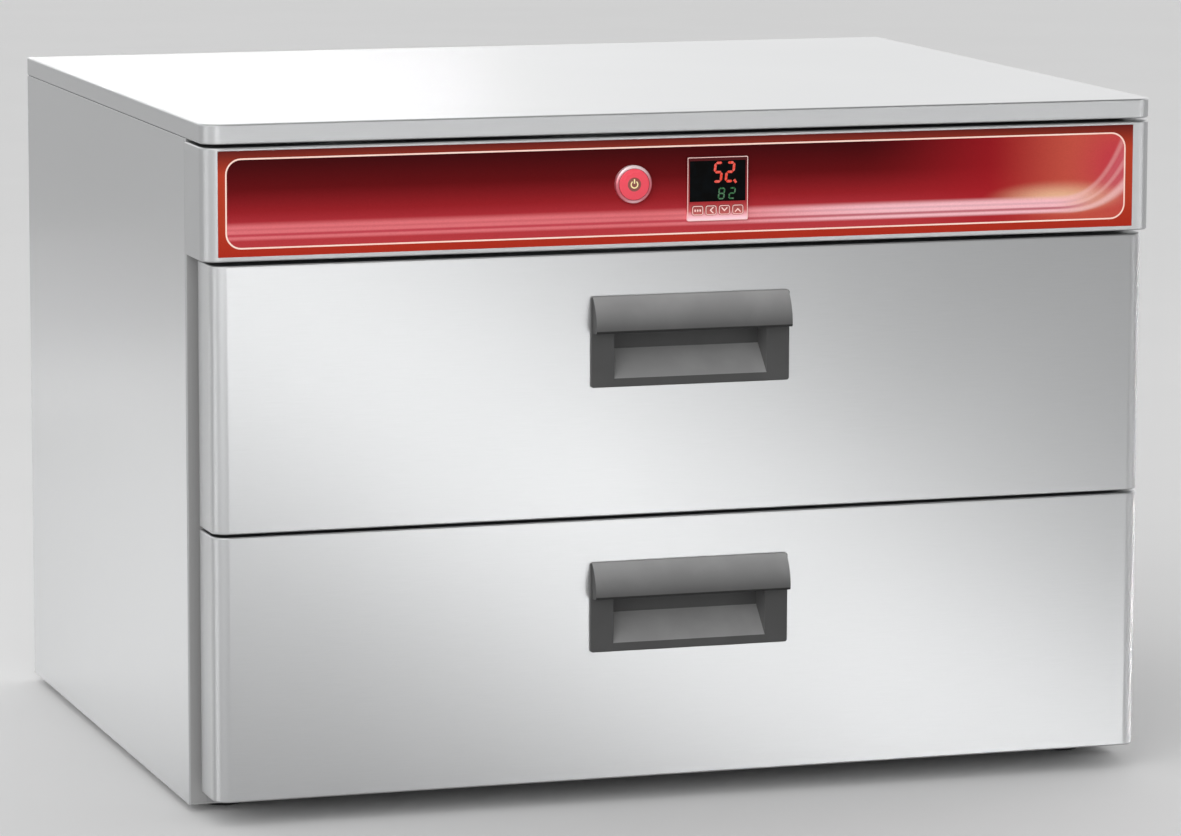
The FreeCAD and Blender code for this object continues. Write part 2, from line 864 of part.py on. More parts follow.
def drawer_carrier(name):
    """Welded sheet frame behind a front: rails that take the runners under a plate that carries the food pan."""
    top = carrier_top(name)
    sheet = given["carrier_sheet"]
    plate_low = top - sheet
    back = drawer_back + given["carrier_length"]
    plate = new_body(f"{name}_pan_support")
    add(plate, "z", plate_low, top, box(-carrier_half, carrier_half, drawer_back, back))
    cut(plate, "z", plate_low, top, pan_plan(given["pan_clearance"] - given["pan_rim_ledge"]))
    rails = new_body(f"{name}_carrier_rails")
    low = top - given["carrier_skirt"]
    inside = carrier_half - sheet
    for side in (-1, 1):
        add(rails, "z", low, plate_low, box(inside * side, carrier_half * side, drawer_back, back))
    cross_half = inside - given["assembly_gap"]
    for start, end in ((drawer_back, drawer_back + sheet), (back - sheet, back)):
        add(rails, "z", low, plate_low, box(-cross_half, cross_half, start, end))
    holes = [Disc(across, height, screw_hole) for across, height in carrier_screw_places(name)]
    cut(rails, "y", drawer_back, drawer_back + sheet, *holes)


def pan_plan(margin):
    """Plan outline of the pan's rim, grown by a margin all round."""
    half = given["pan_rim_width"] / 2 + margin
    front = pan_front - margin
    back = pan_front + given["pan_rim_depth"] + margin
    return box(-half, half, front, back, given["pan_rim_radius"] + margin)


def food_pan(name):
    """Deep tapered food pan hung by its rim."""
    sheet = given["pan_sheet"]
    rim_top = carrier_top(name) + sheet
    floor = rim_top - pan_height
    ledge = -given["pan_rim_ledge"]
    outside = doc.addObject("PartDesign::Body", "PanOutside")
    add(outside, "z", rim_top - sheet, rim_top, pan_plan(as_size(0)))
    tapered_well(outside, rim_top, floor, pan_plan(ledge), given["pan_floor_radius"])
    inside = doc.addObject("PartDesign::Body", "PanInside")
    inner_radius = given["pan_floor_radius"] - sheet
    tapered_well(inside, rim_top, floor + sheet, pan_plan(ledge - sheet), inner_radius)
    pan = trimmed(outside, inside)
    pan.Label = f"{name}_food_pan"
    parts.append(pan)


def tapered_well(body, top, floor, outline, floor_radius):
    """Pad an outline down from a level, drawing in as it goes, and round the edges of its floor."""
    sketch = sketch_square_to(body, "z", top)
    outline.draw(sketch)
    feature = body.newObject("PartDesign::Pad", "Well")
    feature.Profile = sketch
    feature.Reversed = True
    bind(feature, "Length", top - floor)
    bind(feature, "TaperAngle", -given["pan_taper"])
    sketch.Visibility = False
    round_edges(body, floor_radius, lambda edge: lies(edge, z=floor))


def handle_low(name):
    return front_lows[name] + given["drawer_height"] - given["handle_drop"] - given["handle_height"]


def handle_frame(name):
    """The handle's main places: bottom, top, lip, pocket floor and pocket ceiling."""
    low = handle_low(name)
    high = low + given["handle_height"]
    return {
        "low": low,
        "high": high,
        "lip": high - given["hood_drop"],
        "floor": low + given["pocket_rim"],
        "ceiling": high - given["pocket_top"],
    }


def handle_cutout(name, margin):
    """Outline of the handle's bowl, grown by a margin."""
    frame = handle_frame(name)
    grown = given["handle_wall"] + margin
    half = given["pocket_width"] / 2 + grown
    return box(-half, half, frame["floor"] - grown, frame["ceiling"] + grown)


def handle_screw_places(name):
    """Places of the screws behind the handle's side margins."""
    frame = handle_frame(name)
    inset = given["small_screw_inset"]
    across = given["handle_width"] / 2 - inset
    return [
        (across * side, height)
        for side in (-1, 1)
        for height in (frame["low"] + inset, frame["high"] - inset)
    ]


def handle(name):
    """Moulded pull: a plate with a bulging hood over a sloping finger pocket."""
    body = new_body(f"{name}_handle")
    frame = handle_frame(name)
    half = given["handle_width"] / 2
    pocket_half = given["pocket_width"] / 2
    wall = given["handle_wall"]
    plate_front = front_y - given["handle_proud"]
    bowl_back = plate_front + given["ramp_run"] + wall
    plate = box(-half, half, frame["low"], frame["high"], given["handle_corner"])
    add(body, "y", plate_front, front_y, plate)
    hood_half = half - given["hood_inset"]
    add(body, "x", -hood_half, hood_half, hood_section(frame, plate_front))
    bowl = Outline([
        (front_y, frame["floor"] - wall),
        (front_y + wall, frame["floor"] - wall),
        (bowl_back, frame["floor"] + given["ramp_rise"] - wall),
        (bowl_back, frame["ceiling"] + wall),
        (front_y, frame["ceiling"] + wall),
    ])
    add(body, "x", -pocket_half - wall, pocket_half + wall, bowl)
    cut(body, "x", -pocket_half, pocket_half, pocket_section(frame, plate_front))
    hole = given["small_screw_radius"] + given["assembly_gap"]
    holes = [Disc(across, height, hole) for across, height in handle_screw_places(name)]
    cut(body, "y", front_y - given["handle_screw_depth"], front_y, *holes)


def hood_radius():
    """Radius of the hood's face, whose steepest point is its lip."""
    reach, drop = given["hood_reach"], given["hood_drop"]
    return (drop * drop + reach * reach) / (reach * 2)


def hood_section(frame, plate_front):
    """The hood's outer section: a bowed face, a rounded lip and an underside back to the plate."""
    tip = plate_front - given["hood_reach"]
    lip = given["hood_lip"]
    corners = [
        (plate_front, frame["high"]),
        (tip, frame["lip"]),
        (tip + lip, frame["lip"] - lip),
        (plate_front, frame["lip"] - lip - given["hood_slope"]),
    ]
    return Outline(corners, bows={0: (hood_radius(), 1), 1: (lip, 1)})


def pocket_section(frame, plate_front):
    """The finger pocket: a ramp, a back wall and the hollow behind the hood."""
    wall = given["handle_wall"]
    tip = plate_front - given["hood_reach"]
    inner_radius = hood_radius() - wall
    rise = frame["ceiling"] - frame["lip"]
    hollow_front = tip + hood_radius() - root(inner_radius * inner_radius - rise * rise)
    lip_low = frame["lip"] - given["hood_lip"]
    back = plate_front + given["ramp_run"]
    corners = [
        (tip, frame["floor"]),
        (plate_front, frame["floor"]),
        (back, frame["floor"] + given["ramp_rise"]),
        (back, frame["ceiling"]),
        (hollow_front, frame["ceiling"]),
        (tip + wall, frame["lip"]),
        (tip + wall, lip_low),
        (tip, lip_low),
    ]
    return Outline(corners, bows={4: (inner_radius, 1)})


def drawer_front(name):
    """Drawer front folded from one sheet, with rounded upright edges and the handle's cut-out."""
    body = new_body(f"{name}_drawer_front")
    sheet = given["panel_sheet"]
    low = front_lows[name]
    high = low + given["drawer_height"]
    radius = given["drawer_radius"]
    add(body, "z", low, high, front_rounded(front_half, front_y, drawer_back, radius))
    round_edges(body, given["bend_radius"], lambda edge: is_rim(edge, low, high, drawer_back))
    inside = front_rounded(front_half - sheet, front_y + sheet, drawer_back, radius - sheet)
    cut(body, "z", low + sheet, high - sheet, inside)
    hole = given["small_screw_radius"] + given["assembly_gap"]
    holes = [Disc(across, height, hole) for across, height in handle_screw_places(name)]
    cut(body, "y", front_y, front_y + sheet, handle_cutout(name, given["assembly_gap"]), *holes)


def drawer_inner_panel(name):
    """Sheet that closes the back of the drawer front."""
    body = new_body(f"{name}_drawer_inner_panel")
    sheet = given["panel_sheet"]
    half = front_half - sheet
    low = front_lows[name] + sheet
    high = front_lows[name] + given["drawer_height"] - sheet
    holes = [Disc(across, height, screw_hole) for across, height in carrier_screw_places(name)]
    add(body, "y", drawer_back - sheet, drawer_back, box(-half, half, low, high), *holes)


def drawer_insulation(name):
    """Wool slab inside the drawer front, hollowed for the handle's bowl."""
    body = new_body(f"{name}_drawer_insulation")
    sheet, gap = given["panel_sheet"], given["stuffing_gap"]
    margin = sheet + gap
    low = front_lows[name] + margin
    high = front_lows[name] + given["drawer_height"] - margin
    start, end = front_y + margin, drawer_back - sheet
    plan = front_rounded(front_half - margin, start, end, given["drawer_radius"] - margin)
    add(body, "z", low, high, plan)
    bowl_back = front_y - given["handle_proud"] + given["ramp_run"] + given["handle_wall"]
    cut(body, "y", start, bowl_back + gap, handle_cutout(name, gap))
    shank_end = drawer_back - sheet - given["screw_room"] / 2
    tip = given["screw_radius"] + gap / 2
    holes = [Disc(across, height, tip) for across, height in carrier_screw_places(name)]
    cut(body, "y", shank_end, end, *holes)


def drawer_gasket(name):
    """Silicone seal round the back of the drawer front."""
    body = new_body(f"{name}_drawer_gasket")
    near = given["gasket_offset"]
    far = near + given["gasket_width"]
    floor, ceiling = cavity_floor(name), cavity_ceiling(name)
    radius = given["gasket_radius"]
    rings = [
        box(-cavity_half - margin, cavity_half + margin, floor - margin, ceiling + margin, radius + margin)
        for margin in (near, far)
    ]
    add(body, "y", drawer_back, frame_front - given["running_gap"], *rings)


def drawer_screws(name):
    """Screws of the handle and of the drawer carrier."""
    sheet = given["panel_sheet"]
    screws = []
    shank = sheet + given["handle_screw_depth"] - given["running_gap"]
    for across, height in handle_screw_places(name):
        screws.append(screw((across, front_y + sheet, height), shank, given["small_screw_radius"], -1))
    seat = drawer_back + given["carrier_sheet"]
    carrier_shank = given["carrier_sheet"] + sheet + given["stuffing_gap"]
    for across, height in carrier_screw_places(name):
        screws.append(screw((across, seat, height), carrier_shank, given["screw_radius"], -1))
    group(f"{name}_drawer_screws", screws)


def pipe(body, axis, level, route, radius):
    """Sweep a round section along a route drawn square to an axis, whose first leg runs along Y."""
    spine = sketch_square_to(body, axis, level)
    draw_edges(spine, route, closed=False)
    if axis == "z":
        depth, centre = route[0][1], (route[0][0], level)
    else:
        depth, centre = route[0][0], (level, route[0][1])
    profile = sketch_square_to(body, "y", depth)
    Disc(*centre, radius).draw(profile)
    sweep = body.newObject("PartDesign::AdditivePipe", "Pipe")
    sweep.Profile = profile
    sweep.Spine = spine


def heater(name):
    """Tubular element bent into a loop on the cavity floor, its two tails through the back wall."""
    body = new_body(f"{name}_heater")
    half = given["heater_width"] / 2
    front = frame_back + given["heater_front"]
    back = cavity_back - given["heater_back"]
    bend = given["heater_bend"]
    route = [
        (-tail_x, tail_end), (-tail_x, back, bend), (-half, back, bend), (-half, front, bend),
        (half, front, bend), (half, back, bend), (tail_x, back, bend), (tail_x, tail_end),
    ]
    pipe(body, "z", heater_level(name), route, given["heater_diameter"] / 2)


def heater_level(name):
    return cavity_floor(name) + given["heater_rise"]


def heater_clips():
    """Saddles that hold the elements off the cavity floors."""
    clips = []
    radius = given["heater_diameter"] / 2
    half_length = given["clip_length"] / 2
    half_width_of_clip = given["clip_width"] / 2
    middle = (frame_back + given["heater_front"] + cavity_back - given["heater_back"]) / 2
    for name in front_lows:
        floor = cavity_floor(name)
        level = floor + given["heater_rise"]
        top = level + radius + given["clip_cover"]
        for side in (-1, 1):
            for end in (-1, 1):
                across = given["heater_width"] / 2 * side
                depth = middle + given["clip_spacing"] / 2 * end
                saddle = block(
                    (across - half_width_of_clip, depth - half_length, floor),
                    (across + half_width_of_clip, depth + half_length, top),
                )
                bore_place = (across, depth - half_length, level)
                bore = cylinder(radius + given["assembly_gap"], half_length * 2, bore_place, "y")
                clips.append(trimmed(saddle, bore))
    group("heater_clips", clips)


def temperature_probes():
    """Probe rods through the back walls, each with a collar."""
    rods = []
    for name in front_lows:
        height = cavity_floor(name) + given["probe_height"]
        start = cavity_back - given["probe_reach"]
        rod = cylinder(given["probe_diameter"] / 2, tail_end - start, (0, start, height), "y")
        collar_start = cavity_back - given["probe_collar"]
        collar_radius = given["probe_collar_radius"]
        collar = cylinder(collar_radius, given["probe_collar"], (0, collar_start, height), "y")
        rods.append(fused([rod, collar]))
    group("temperature_probes", rods)


def safety_cutouts():
    """Disc thermostats seated on the outside of the back walls."""
    discs = []
    for name in front_lows:
        height = cavity_floor(name) + given["cutout_height"]
        can = cylinder(given["cutout_diameter"] / 2, given["cutout_depth"], (0, liner_back, height), "y")
        cap_start = liner_back + given["cutout_depth"]
        cap_length = given["cutout_cap_length"]
        cap = cylinder(given["cutout_cap_radius"], cap_length, (0, cap_start, height), "y")
        discs.append(fused([can, cap]))
    group("safety_cutouts", discs)


def controller():
    """Panel-mounted temperature controller: case, bezel and display window."""
    case = new_body("controller_case")
    size = given["controller_case"]
    rear = overlay_front + given["controller_length"]
    add(case, "y", overlay_front, rear, centred_box(controller_x, controller_z, size, size))
    bezel = new_body("controller_bezel")
    whole = given["controller_size"]
    face = overlay_front - given["controller_proud"]
    outer = centred_box(controller_x, controller_z, whole, whole, given["controller_corner"])
    gap = given["assembly_gap"] * 2
    key_holes = [
        centred_box(across, key_z, given["key_width"] + gap, given["key_height"] + gap, given["key_corner"])
        for across in key_places.values()
    ]
    add(bezel, "y", face, overlay_front, outer, window_outline(), *key_holes)
    window = new_body("controller_window")
    add(window, "y", face + given["window_recess"], overlay_front, window_outline())


def window_outline():
    """Outline of the display window."""
    high = controller_z + given["controller_size"] / 2 - given["window_drop"]
    half = given["window_width"] / 2
    return box(controller_x - half, controller_x + half, high - given["window_height"], high)


def controller_key(label, across):
    """One sprung key of the controller."""
    body = new_body(label)
    face = overlay_front - given["controller_proud"] - given["key_proud"]
    back = overlay_front - given["key_travel"] - given["assembly_gap"]
    add(body, "y", face, back, centred_box(
        across, key_z, given["key_width"], given["key_height"], given["key_corner"]
    ))


def power_switch():
    """Illuminated push switch: bezel in front, barrel, nut and contact block behind."""
    bezel = new_body("power_switch_bezel")
    face = overlay_front - given["switch_bezel_proud"]
    floor = overlay_front - given["switch_bezel_floor"]
    stem_hole = given["button_stem_radius"] + given["running_gap"]
    add(bezel, "y", face, overlay_front, Disc(switch_x, switch_z, given["switch_bezel_radius"]))
    round_edges(bezel, given["bend_radius"], lambda edge: lies(edge, y=face))
    cut(bezel, "y", face, floor, Disc(switch_x, switch_z, given["switch_bore_radius"]))
    cut(bezel, "y", floor, overlay_front, Disc(switch_x, switch_z, stem_hole))
    body = new_body("power_switch_body")
    sheet = given["panel_sheet"]
    barrel_end = overlay_front + given["switch_barrel_length"]
    block_end = barrel_end + given["switch_block_length"]
    bore = given["button_stem_radius"] + given["running_gap"] * 2
    block_size = given["switch_block"]
    add(body, "y", overlay_front, barrel_end, Disc(switch_x, switch_z, given["switch_barrel_radius"]))
    nut_end = front_y + sheet + given["switch_nut_height"]
    add(body, "y", front_y + sheet, nut_end, Disc(switch_x, switch_z, given["switch_nut_radius"]))
    add(body, "y", barrel_end, block_end, centred_box(switch_x, switch_z, block_size, block_size))
    cut(body, "y", overlay_front, barrel_end, Disc(switch_x, switch_z, bore))


def power_button():
    """Sprung lit cap of the power switch, on a stem that slides in the barrel."""
    body = new_body("power_button")
    face = overlay_front - given["switch_bezel_proud"] - given["button_proud"]
    back = face + given["button_thickness"]
    cap_radius = given["switch_bore_radius"] - given["running_gap"]
    add(body, "y", face, back, Disc(switch_x, switch_z, cap_radius))
    round_edges(body, given["button_proud"], lambda edge: lies(edge, y=face))
    stem_end = overlay_front + given["button_stem_length"]
    add(body, "y", back, stem_end, Disc(switch_x, switch_z, given["button_stem_radius"]))


def solid_state_relay():
    """Relay for the heaters, on its base plate."""
    body = new_body("solid_state_relay")
    depth, width = given["relay_depth"], given["relay_width"]
    middle = shelf_parts_front + depth / 2
    base_top = shelf_top + given["relay_base"]
    top = shelf_top + given["relay_height"]
    core_width = width - given["relay_shoulder"] * 2
    add(body, "z", shelf_top, base_top, centred_box(relay_x, middle, width, depth))
    add(body, "z", base_top, top, centred_box(relay_x, middle, core_width, depth))
    size = given["relay_terminal"]
    reach_x, reach_y = (core_width - size) / 2, (depth - size) / 2
    terminals = [
        centred_box(relay_x + reach_x * across, middle + reach_y * along, size, size)
        for across in (-1, 1) for along in (-1, 1)
    ]
    cut(body, "z", top - given["relay_terminal_depth"], top, *terminals)


def terminal_block():
    """Row of screw terminals on the control shelf."""
    body = new_body("terminal_block")
    middle = shelf_parts_front + given["terminal_depth"] / 2
    top = shelf_top + given["terminal_height"]
    block_plan = centred_box(terminal_x, middle, given["terminal_width"], given["terminal_depth"])
    add(body, "z", shelf_top, top, block_plan)
    pitch = given["terminal_pitch"]
    first = terminal_x - pitch * (given["terminal_count"] - 1) / 2
    wells = [
        Disc(first + pitch * step, middle, given["terminal_well_radius"])
        for step in range(SIZES["terminal_count"])
    ]
    cut(body, "z", top - given["terminal_well_depth"], top, *wells)


def power_inlet():
    """Appliance inlet in the back panel: a flange and a socket with three pins."""
    body = new_body("power_inlet")
    flange_face = back_outside + given["inlet_flange"]
    width, height = given["inlet_body_width"], given["inlet_body_height"]
    wall = given["inlet_wall"]
    flange = centred_box(
        inlet_x, inlet_z, given["inlet_flange_width"], given["inlet_flange_height"], wall * 2
    )
    add(body, "y", back_outside, flange_face, flange)
    inner_face = flange_face - given["inlet_body_depth"]
    add(body, "y", inner_face, back_outside, centred_box(inlet_x, inlet_z, width, height))
    socket_floor = flange_face - given["inlet_socket_depth"]
    socket = centred_box(inlet_x, inlet_z, width - wall * 2, height - wall * 2, wall)
    cut(body, "y", socket_floor, flange_face, socket)
    pitch = given["inlet_pin_pitch"]
    pins = [
        centred_box(inlet_x + pitch / 2 * step, inlet_z, given["inlet_pin_height"], given["inlet_pin_width"])
        for step in (-1, 0, 1)
    ]
    add(body, "y", socket_floor, socket_floor + given["inlet_pin_length"], *pins)


def wiring_loom():
    """Wires bundled from the controller back over the shelf and down the channel, with branches."""
    body = new_body("wiring_loom")
    rear = overlay_front + given["controller_length"]
    bend = given["wire_bend"]
    trunk = [(rear, wire_z), (channel_middle, wire_z, bend), (channel_middle, cavity_floor("lower"))]
    pipe(body, "x", controller_x, trunk, given["loom_radius"])
    for name in front_lows:
        floor = cavity_floor(name)
        ends = [
            (-tail_x, tail_end, heater_level(name)),
            (tail_x, tail_end, heater_level(name)),
            (as_size(0), tail_end, floor + given["probe_height"]),
            (as_size(0), cutout_end, floor + given["cutout_height"]),
        ]
        for across, start, level in ends:
            route = [(across, start), (across, channel_middle, bend), (controller_x, channel_middle)]
            pipe(body, "z", level, route, given["wire_radius"])
    for route in shelf_branches():
        pipe(body, "z", wire_z, route, given["wire_radius"])


def shelf_branches():
    """Routes from the relay, the terminals, the inlet and the switch to the loom."""
    meeting = shelf_parts_front + given["shelf_branch_depth"]
    block_end = overlay_front + given["switch_barrel_length"] + given["switch_block_length"]
    inlet_face = back_outside + given["inlet_flange"] - given["inlet_body_depth"]
    starts = [
        (relay_x, shelf_parts_front + given["relay_depth"], meeting),
        (terminal_x, shelf_parts_front + given["terminal_depth"], meeting),
        (inlet_x, inlet_face, inlet_face - given["branch_reach"]),
        (switch_x, block_end, block_end + given["branch_reach"]),
    ]
    bend = given["branch_bend"]
    return [[(across, start), (across, turn, bend), (controller_x, turn)] for across, start, turn in starts]


def build_cabinet():
    side_panel("left_side_panel", -1)
    side_panel("right_side_panel", 1)
    back_panel()
    base_panel()
    top_panel()
    front_frame()
    control_fascia()
    control_overlay()
    control_shelf()
    insulation()
    feet()
    back_screws()
    for name in front_lows:
        cavity_liner(name)
        heater(name)
    heater_clips()
    temperature_probes()
    safety_cutouts()
    solid_state_relay()
    terminal_block()
    power_inlet()
    wiring_loom()


def build_controls():
    controller()
    for label, across in key_places.items():
        controller_key(label, across)
    power_switch()
    power_button()


def build_drawer(name):
    drawer_front(name)
    drawer_inner_panel(name)
    drawer_insulation(name)
    drawer_gasket(name)
    handle(name)
    drawer_carrier(name)
    food_pan(name)
    runners(name)
    drawer_screws(name)


def check_document():
    """Stop where any object failed or any sub-part is not a sound solid."""
    doc.recompute()
    for item in doc.Objects:
        if "Invalid" in item.State or "Error" in item.State:
            raise RuntimeError(f"{item.Label} failed: {item.State}")
    for part in parts:
        if part.Shape.isNull() or not part.Shape.isValid() or not part.Shape.Solids:
            raise RuntimeError(f"{part.Label} has no sound shape")


def write_parts():
    os.makedirs("parts", exist_ok=True)
    for part in parts:
        part.Shape.exportStep(f"parts/{part.Label}.step")


build_cabinet()
build_controls()
for drawer in front_lows:
    build_drawer(drawer)
check_document()
write_parts()
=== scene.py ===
import json
import math

import bmesh
import bpy
from mathutils import Matrix, Vector

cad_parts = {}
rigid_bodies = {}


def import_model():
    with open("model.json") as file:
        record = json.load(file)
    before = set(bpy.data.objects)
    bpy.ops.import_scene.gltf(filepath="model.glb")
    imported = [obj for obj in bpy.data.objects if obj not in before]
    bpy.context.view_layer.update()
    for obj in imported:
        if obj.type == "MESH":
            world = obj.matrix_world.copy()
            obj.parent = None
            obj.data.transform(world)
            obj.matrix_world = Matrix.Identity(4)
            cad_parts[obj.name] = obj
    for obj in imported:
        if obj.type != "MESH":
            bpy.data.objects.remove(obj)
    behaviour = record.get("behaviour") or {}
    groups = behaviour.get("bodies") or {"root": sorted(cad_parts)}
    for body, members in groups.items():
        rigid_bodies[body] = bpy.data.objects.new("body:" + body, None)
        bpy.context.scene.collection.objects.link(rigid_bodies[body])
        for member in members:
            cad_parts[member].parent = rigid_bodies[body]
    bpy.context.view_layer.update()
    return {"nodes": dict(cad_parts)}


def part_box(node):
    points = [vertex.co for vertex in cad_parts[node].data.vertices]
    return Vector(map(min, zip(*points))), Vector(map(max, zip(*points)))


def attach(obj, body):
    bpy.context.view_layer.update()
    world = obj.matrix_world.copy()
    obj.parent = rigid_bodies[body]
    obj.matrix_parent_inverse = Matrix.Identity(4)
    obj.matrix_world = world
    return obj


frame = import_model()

nodes = frame["nodes"]

MM = 0.001
DRAWERS = ("upper", "lower")
KEYS = ("mode_key", "shift_key", "down_key", "up_key")

# The usual rounding of an edge, and how far a print stands proud of its face.
EDGE_ROUNDING = 0.5 * MM
PRINT_THICKNESS = 0.05 * MM

# On a round bend, how alike a facet's normal and the true one must be, and a length that stands for none.
FACET_LIKENESS = 0.98
HARDLY_ANY = 0.0001 * MM

# Stretches of a noise's range over which one value gives way to another.
NOISE_WHOLE = (0.25, 0.75)
NOISE_MIDDLE = (0.3, 0.7)
NOISE_UPPER = (0.35, 0.7)

# Places of a Mix node's two colours and of its result.
MIX_FIRST, MIX_SECOND, MIX_RESULT = 6, 7, 2


def srgb(red, green, blue):
    """Linear colour of a shade given in the 0 to 255 steps of a screen."""
    def linear(step):
        share = step / 255
        return share / 12.92 if share <= 0.04045 else ((share + 0.055) / 1.055) ** 2.4
    return (linear(red), linear(green), linear(blue), 1.0)


def grey(step):
    """Linear grey of a screen's step."""
    return srgb(step, step, step)


def scaled(shade, factor):
    """A linear colour made darker or lighter, with no channel past full."""
    return tuple(min(1.0, factor * channel) for channel in shade[:3]) + (1.0,)


def feed(tree, socket, value):
    """Link a socket's value in, or set a plain one."""
    if isinstance(value, bpy.types.NodeSocket):
        tree.links.new(value, socket)
    else:
        socket.default_value = value


class Surface:
    """A procedural material: one principled shader and the nodes that feed it. Constants are the shader's
    other sockets, named in small letters."""

    def __init__(self, name, roughness, **constants):
        self.material = bpy.data.materials.new(name)
        self.material.use_nodes = True
        self.tree = self.material.node_tree
        self.shader = self.tree.nodes["Principled BSDF"]
        self.shader.inputs["Roughness"].default_value = roughness
        for key, value in constants.items():
            self.shader.inputs[key.replace("_", " ").title().replace("Ior", "IOR")].default_value = value
        self.place = self.node("TexCoord").outputs["Object"]

    def node(self, kind, **settings):
        """A new shader node with its settings."""
        made = self.tree.nodes.new(f"ShaderNode{kind}")
        for key, value in settings.items():
            setattr(made, key, value)
        return made

    def feed(self, socket, value):
        """Give a socket a value or another socket's value."""
        feed(self.tree, socket, value)

    def math(self, operation, first, second=0.0):
        """One sum on two values."""
        made = self.node("Math", operation=operation)
        self.feed(made.inputs[0], first)
        self.feed(made.inputs[1], second)
        return made.outputs[0]

    def vector(self, operation, first, second=(0.0, 0.0, 0.0)):
        """One sum on two vectors."""
        made = self.node("VectorMath", operation=operation)
        self.feed(made.inputs[0], first)
        self.feed(made.inputs[1], second)
        return made.outputs["Value" if operation == "DOT_PRODUCT" else "Vector"]

    def axis(self, name):
        """One coordinate of the surface point, in metres of the part's own frame."""
        split = self.node("SeparateXYZ")
        self.feed(split.inputs[0], self.place)
        return split.outputs[name.upper()]

    def normal(self):
        """The way the surface point faces."""
        return self.node("NewGeometry").outputs["Normal"]

    def step(self, value, low, high, out_low=0.0, out_high=1.0, smooth=True):
        """A value carried from one range to another, held at its ends."""
        made = self.node("MapRange", interpolation_type="SMOOTHSTEP" if smooth else "LINEAR")
        for socket, number in zip(made.inputs, (value, low, high, out_low, out_high)):
            self.feed(socket, number)
        return made.outputs["Result"]

    def noise(self, lengths, detail=2.0, shift=0.0):
        """Noise whose grains have a given length along each axis, in metres."""
        mapping = self.node("Mapping")
        mapping.inputs["Scale"].default_value = [1 / length for length in lengths]
        mapping.inputs["Location"].default_value = [shift] * 3
        self.feed(mapping.inputs["Vector"], self.place)
        made = self.node("TexNoise")
        made.inputs["Scale"].default_value = 1.0
        made.inputs["Detail"].default_value = detail
        self.feed(made.inputs["Vector"], mapping.outputs["Vector"])
        return made.outputs["Fac"]

    def mix(self, factor, first, second, blend="MIX"):
        """Two colours mixed or multiplied by a factor."""
        made = self.node("Mix", data_type="RGBA", blend_type=blend)
        self.feed(made.inputs["Factor"], factor)
        self.feed(made.inputs[MIX_FIRST], first)
        self.feed(made.inputs[MIX_SECOND], second)
        return made.outputs[MIX_RESULT]

    def ramp(self, value, *stops):
        """Colours laid along a value, each stop a place from 0 to 1 and its colour."""
        made = self.node("ValToRGB")
        elements = made.color_ramp.elements
        while len(elements) < len(stops):
            elements.new(0.5)
        for element, (place, colour) in zip(elements, stops):
            element.position = place
            element.color = colour
        self.feed(made.inputs["Fac"], value)
        return made.outputs["Color"]

    def colour(self, value):
        """Set the shader's colour."""
        self.feed(self.shader.inputs["Base Color"], value)

    def roughness(self, centre, spread, texture):
        """Roughness that wanders a little either side of its centre."""
        self.feed(self.shader.inputs["Roughness"],
                  self.step(texture, *NOISE_WHOLE, centre - spread, centre + spread, smooth=False))

    def round_bends(self, normal, low, high, radius):
        """Make a facet normal true on the two round upright bends at the front of a box."""
        middle, half = (low.x + high.x) / 2, (high.x - low.x) / 2 - radius
        across = self.math("SUBTRACT", self.axis("x"), middle)
        past = self.math("MAXIMUM", self.math("SUBTRACT", self.math("ABSOLUTE", across), half), 0.0)
        inward = self.math("SUBTRACT", self.axis("y"), low.y + radius)
        bent = self.node("CombineXYZ")
        self.feed(bent.inputs["X"], self.math("MULTIPLY", past, self.math("SIGN", across)))
        self.feed(bent.inputs["Y"], self.math("MINIMUM", inward, -HARDLY_ANY))
        true = self.vector("NORMALIZE", bent.outputs[0])
        shown = self.normal()
        alike = self.math("GREATER_THAN", self.vector("DOT_PRODUCT", true, shown), FACET_LIKENESS)
        change = self.node("VectorMath", operation="SCALE")
        self.feed(change.inputs[0], self.vector("SUBTRACT", true, shown))
        self.feed(change.inputs["Scale"], alike)
        return self.vector("NORMALIZE", self.vector("ADD", normal, change.outputs[0]))

    def relief(self, texture, depth, strength=1.0, rounding=EDGE_ROUNDING, bends=None):
        """Fine relief on softly rounded edges. bends is the box and radius of round upright bends."""
        edge = self.node("Bevel", samples=4)
        edge.inputs["Radius"].default_value = rounding
        smooth = self.round_bends(edge.outputs["Normal"], *bends) if bends else edge.outputs["Normal"]
        bump = self.node("Bump")
        bump.inputs["Strength"].default_value = strength
        bump.inputs["Distance"].default_value = depth
        self.feed(bump.inputs["Height"], texture)
        self.feed(bump.inputs["Normal"], smooth)
        self.feed(self.shader.inputs["Normal"], bump.outputs["Normal"])


# Brushed steel: its hair-fine grain and its faint clouds.
GRAIN_WIDTH = 0.16 * MM
GRAIN_LENGTH = 24 * MM
GRAIN_SHADE = 0.95
GRAIN_DEPTH = 0.002 * MM
CLOUD_SIZE = 160 * MM
CLOUD_EDGES = (0.35, 0.65)
CLOUD_STRENGTH = 0.3

# The cabinet's satin steel, its round upright bends, and the plane behind the duller front flanges.
SATIN_SHADE = srgb(185, 186, 187)
SATIN_ROUGHNESS = 0.3
DULL_SHADE = grey(160)
DRAWER_BEND = 12 * MM
CABINET_BEND = 14 * MM
FLANGE_DEPTH = -235 * MM
FACING_FRONT = (0.9, 0.97)


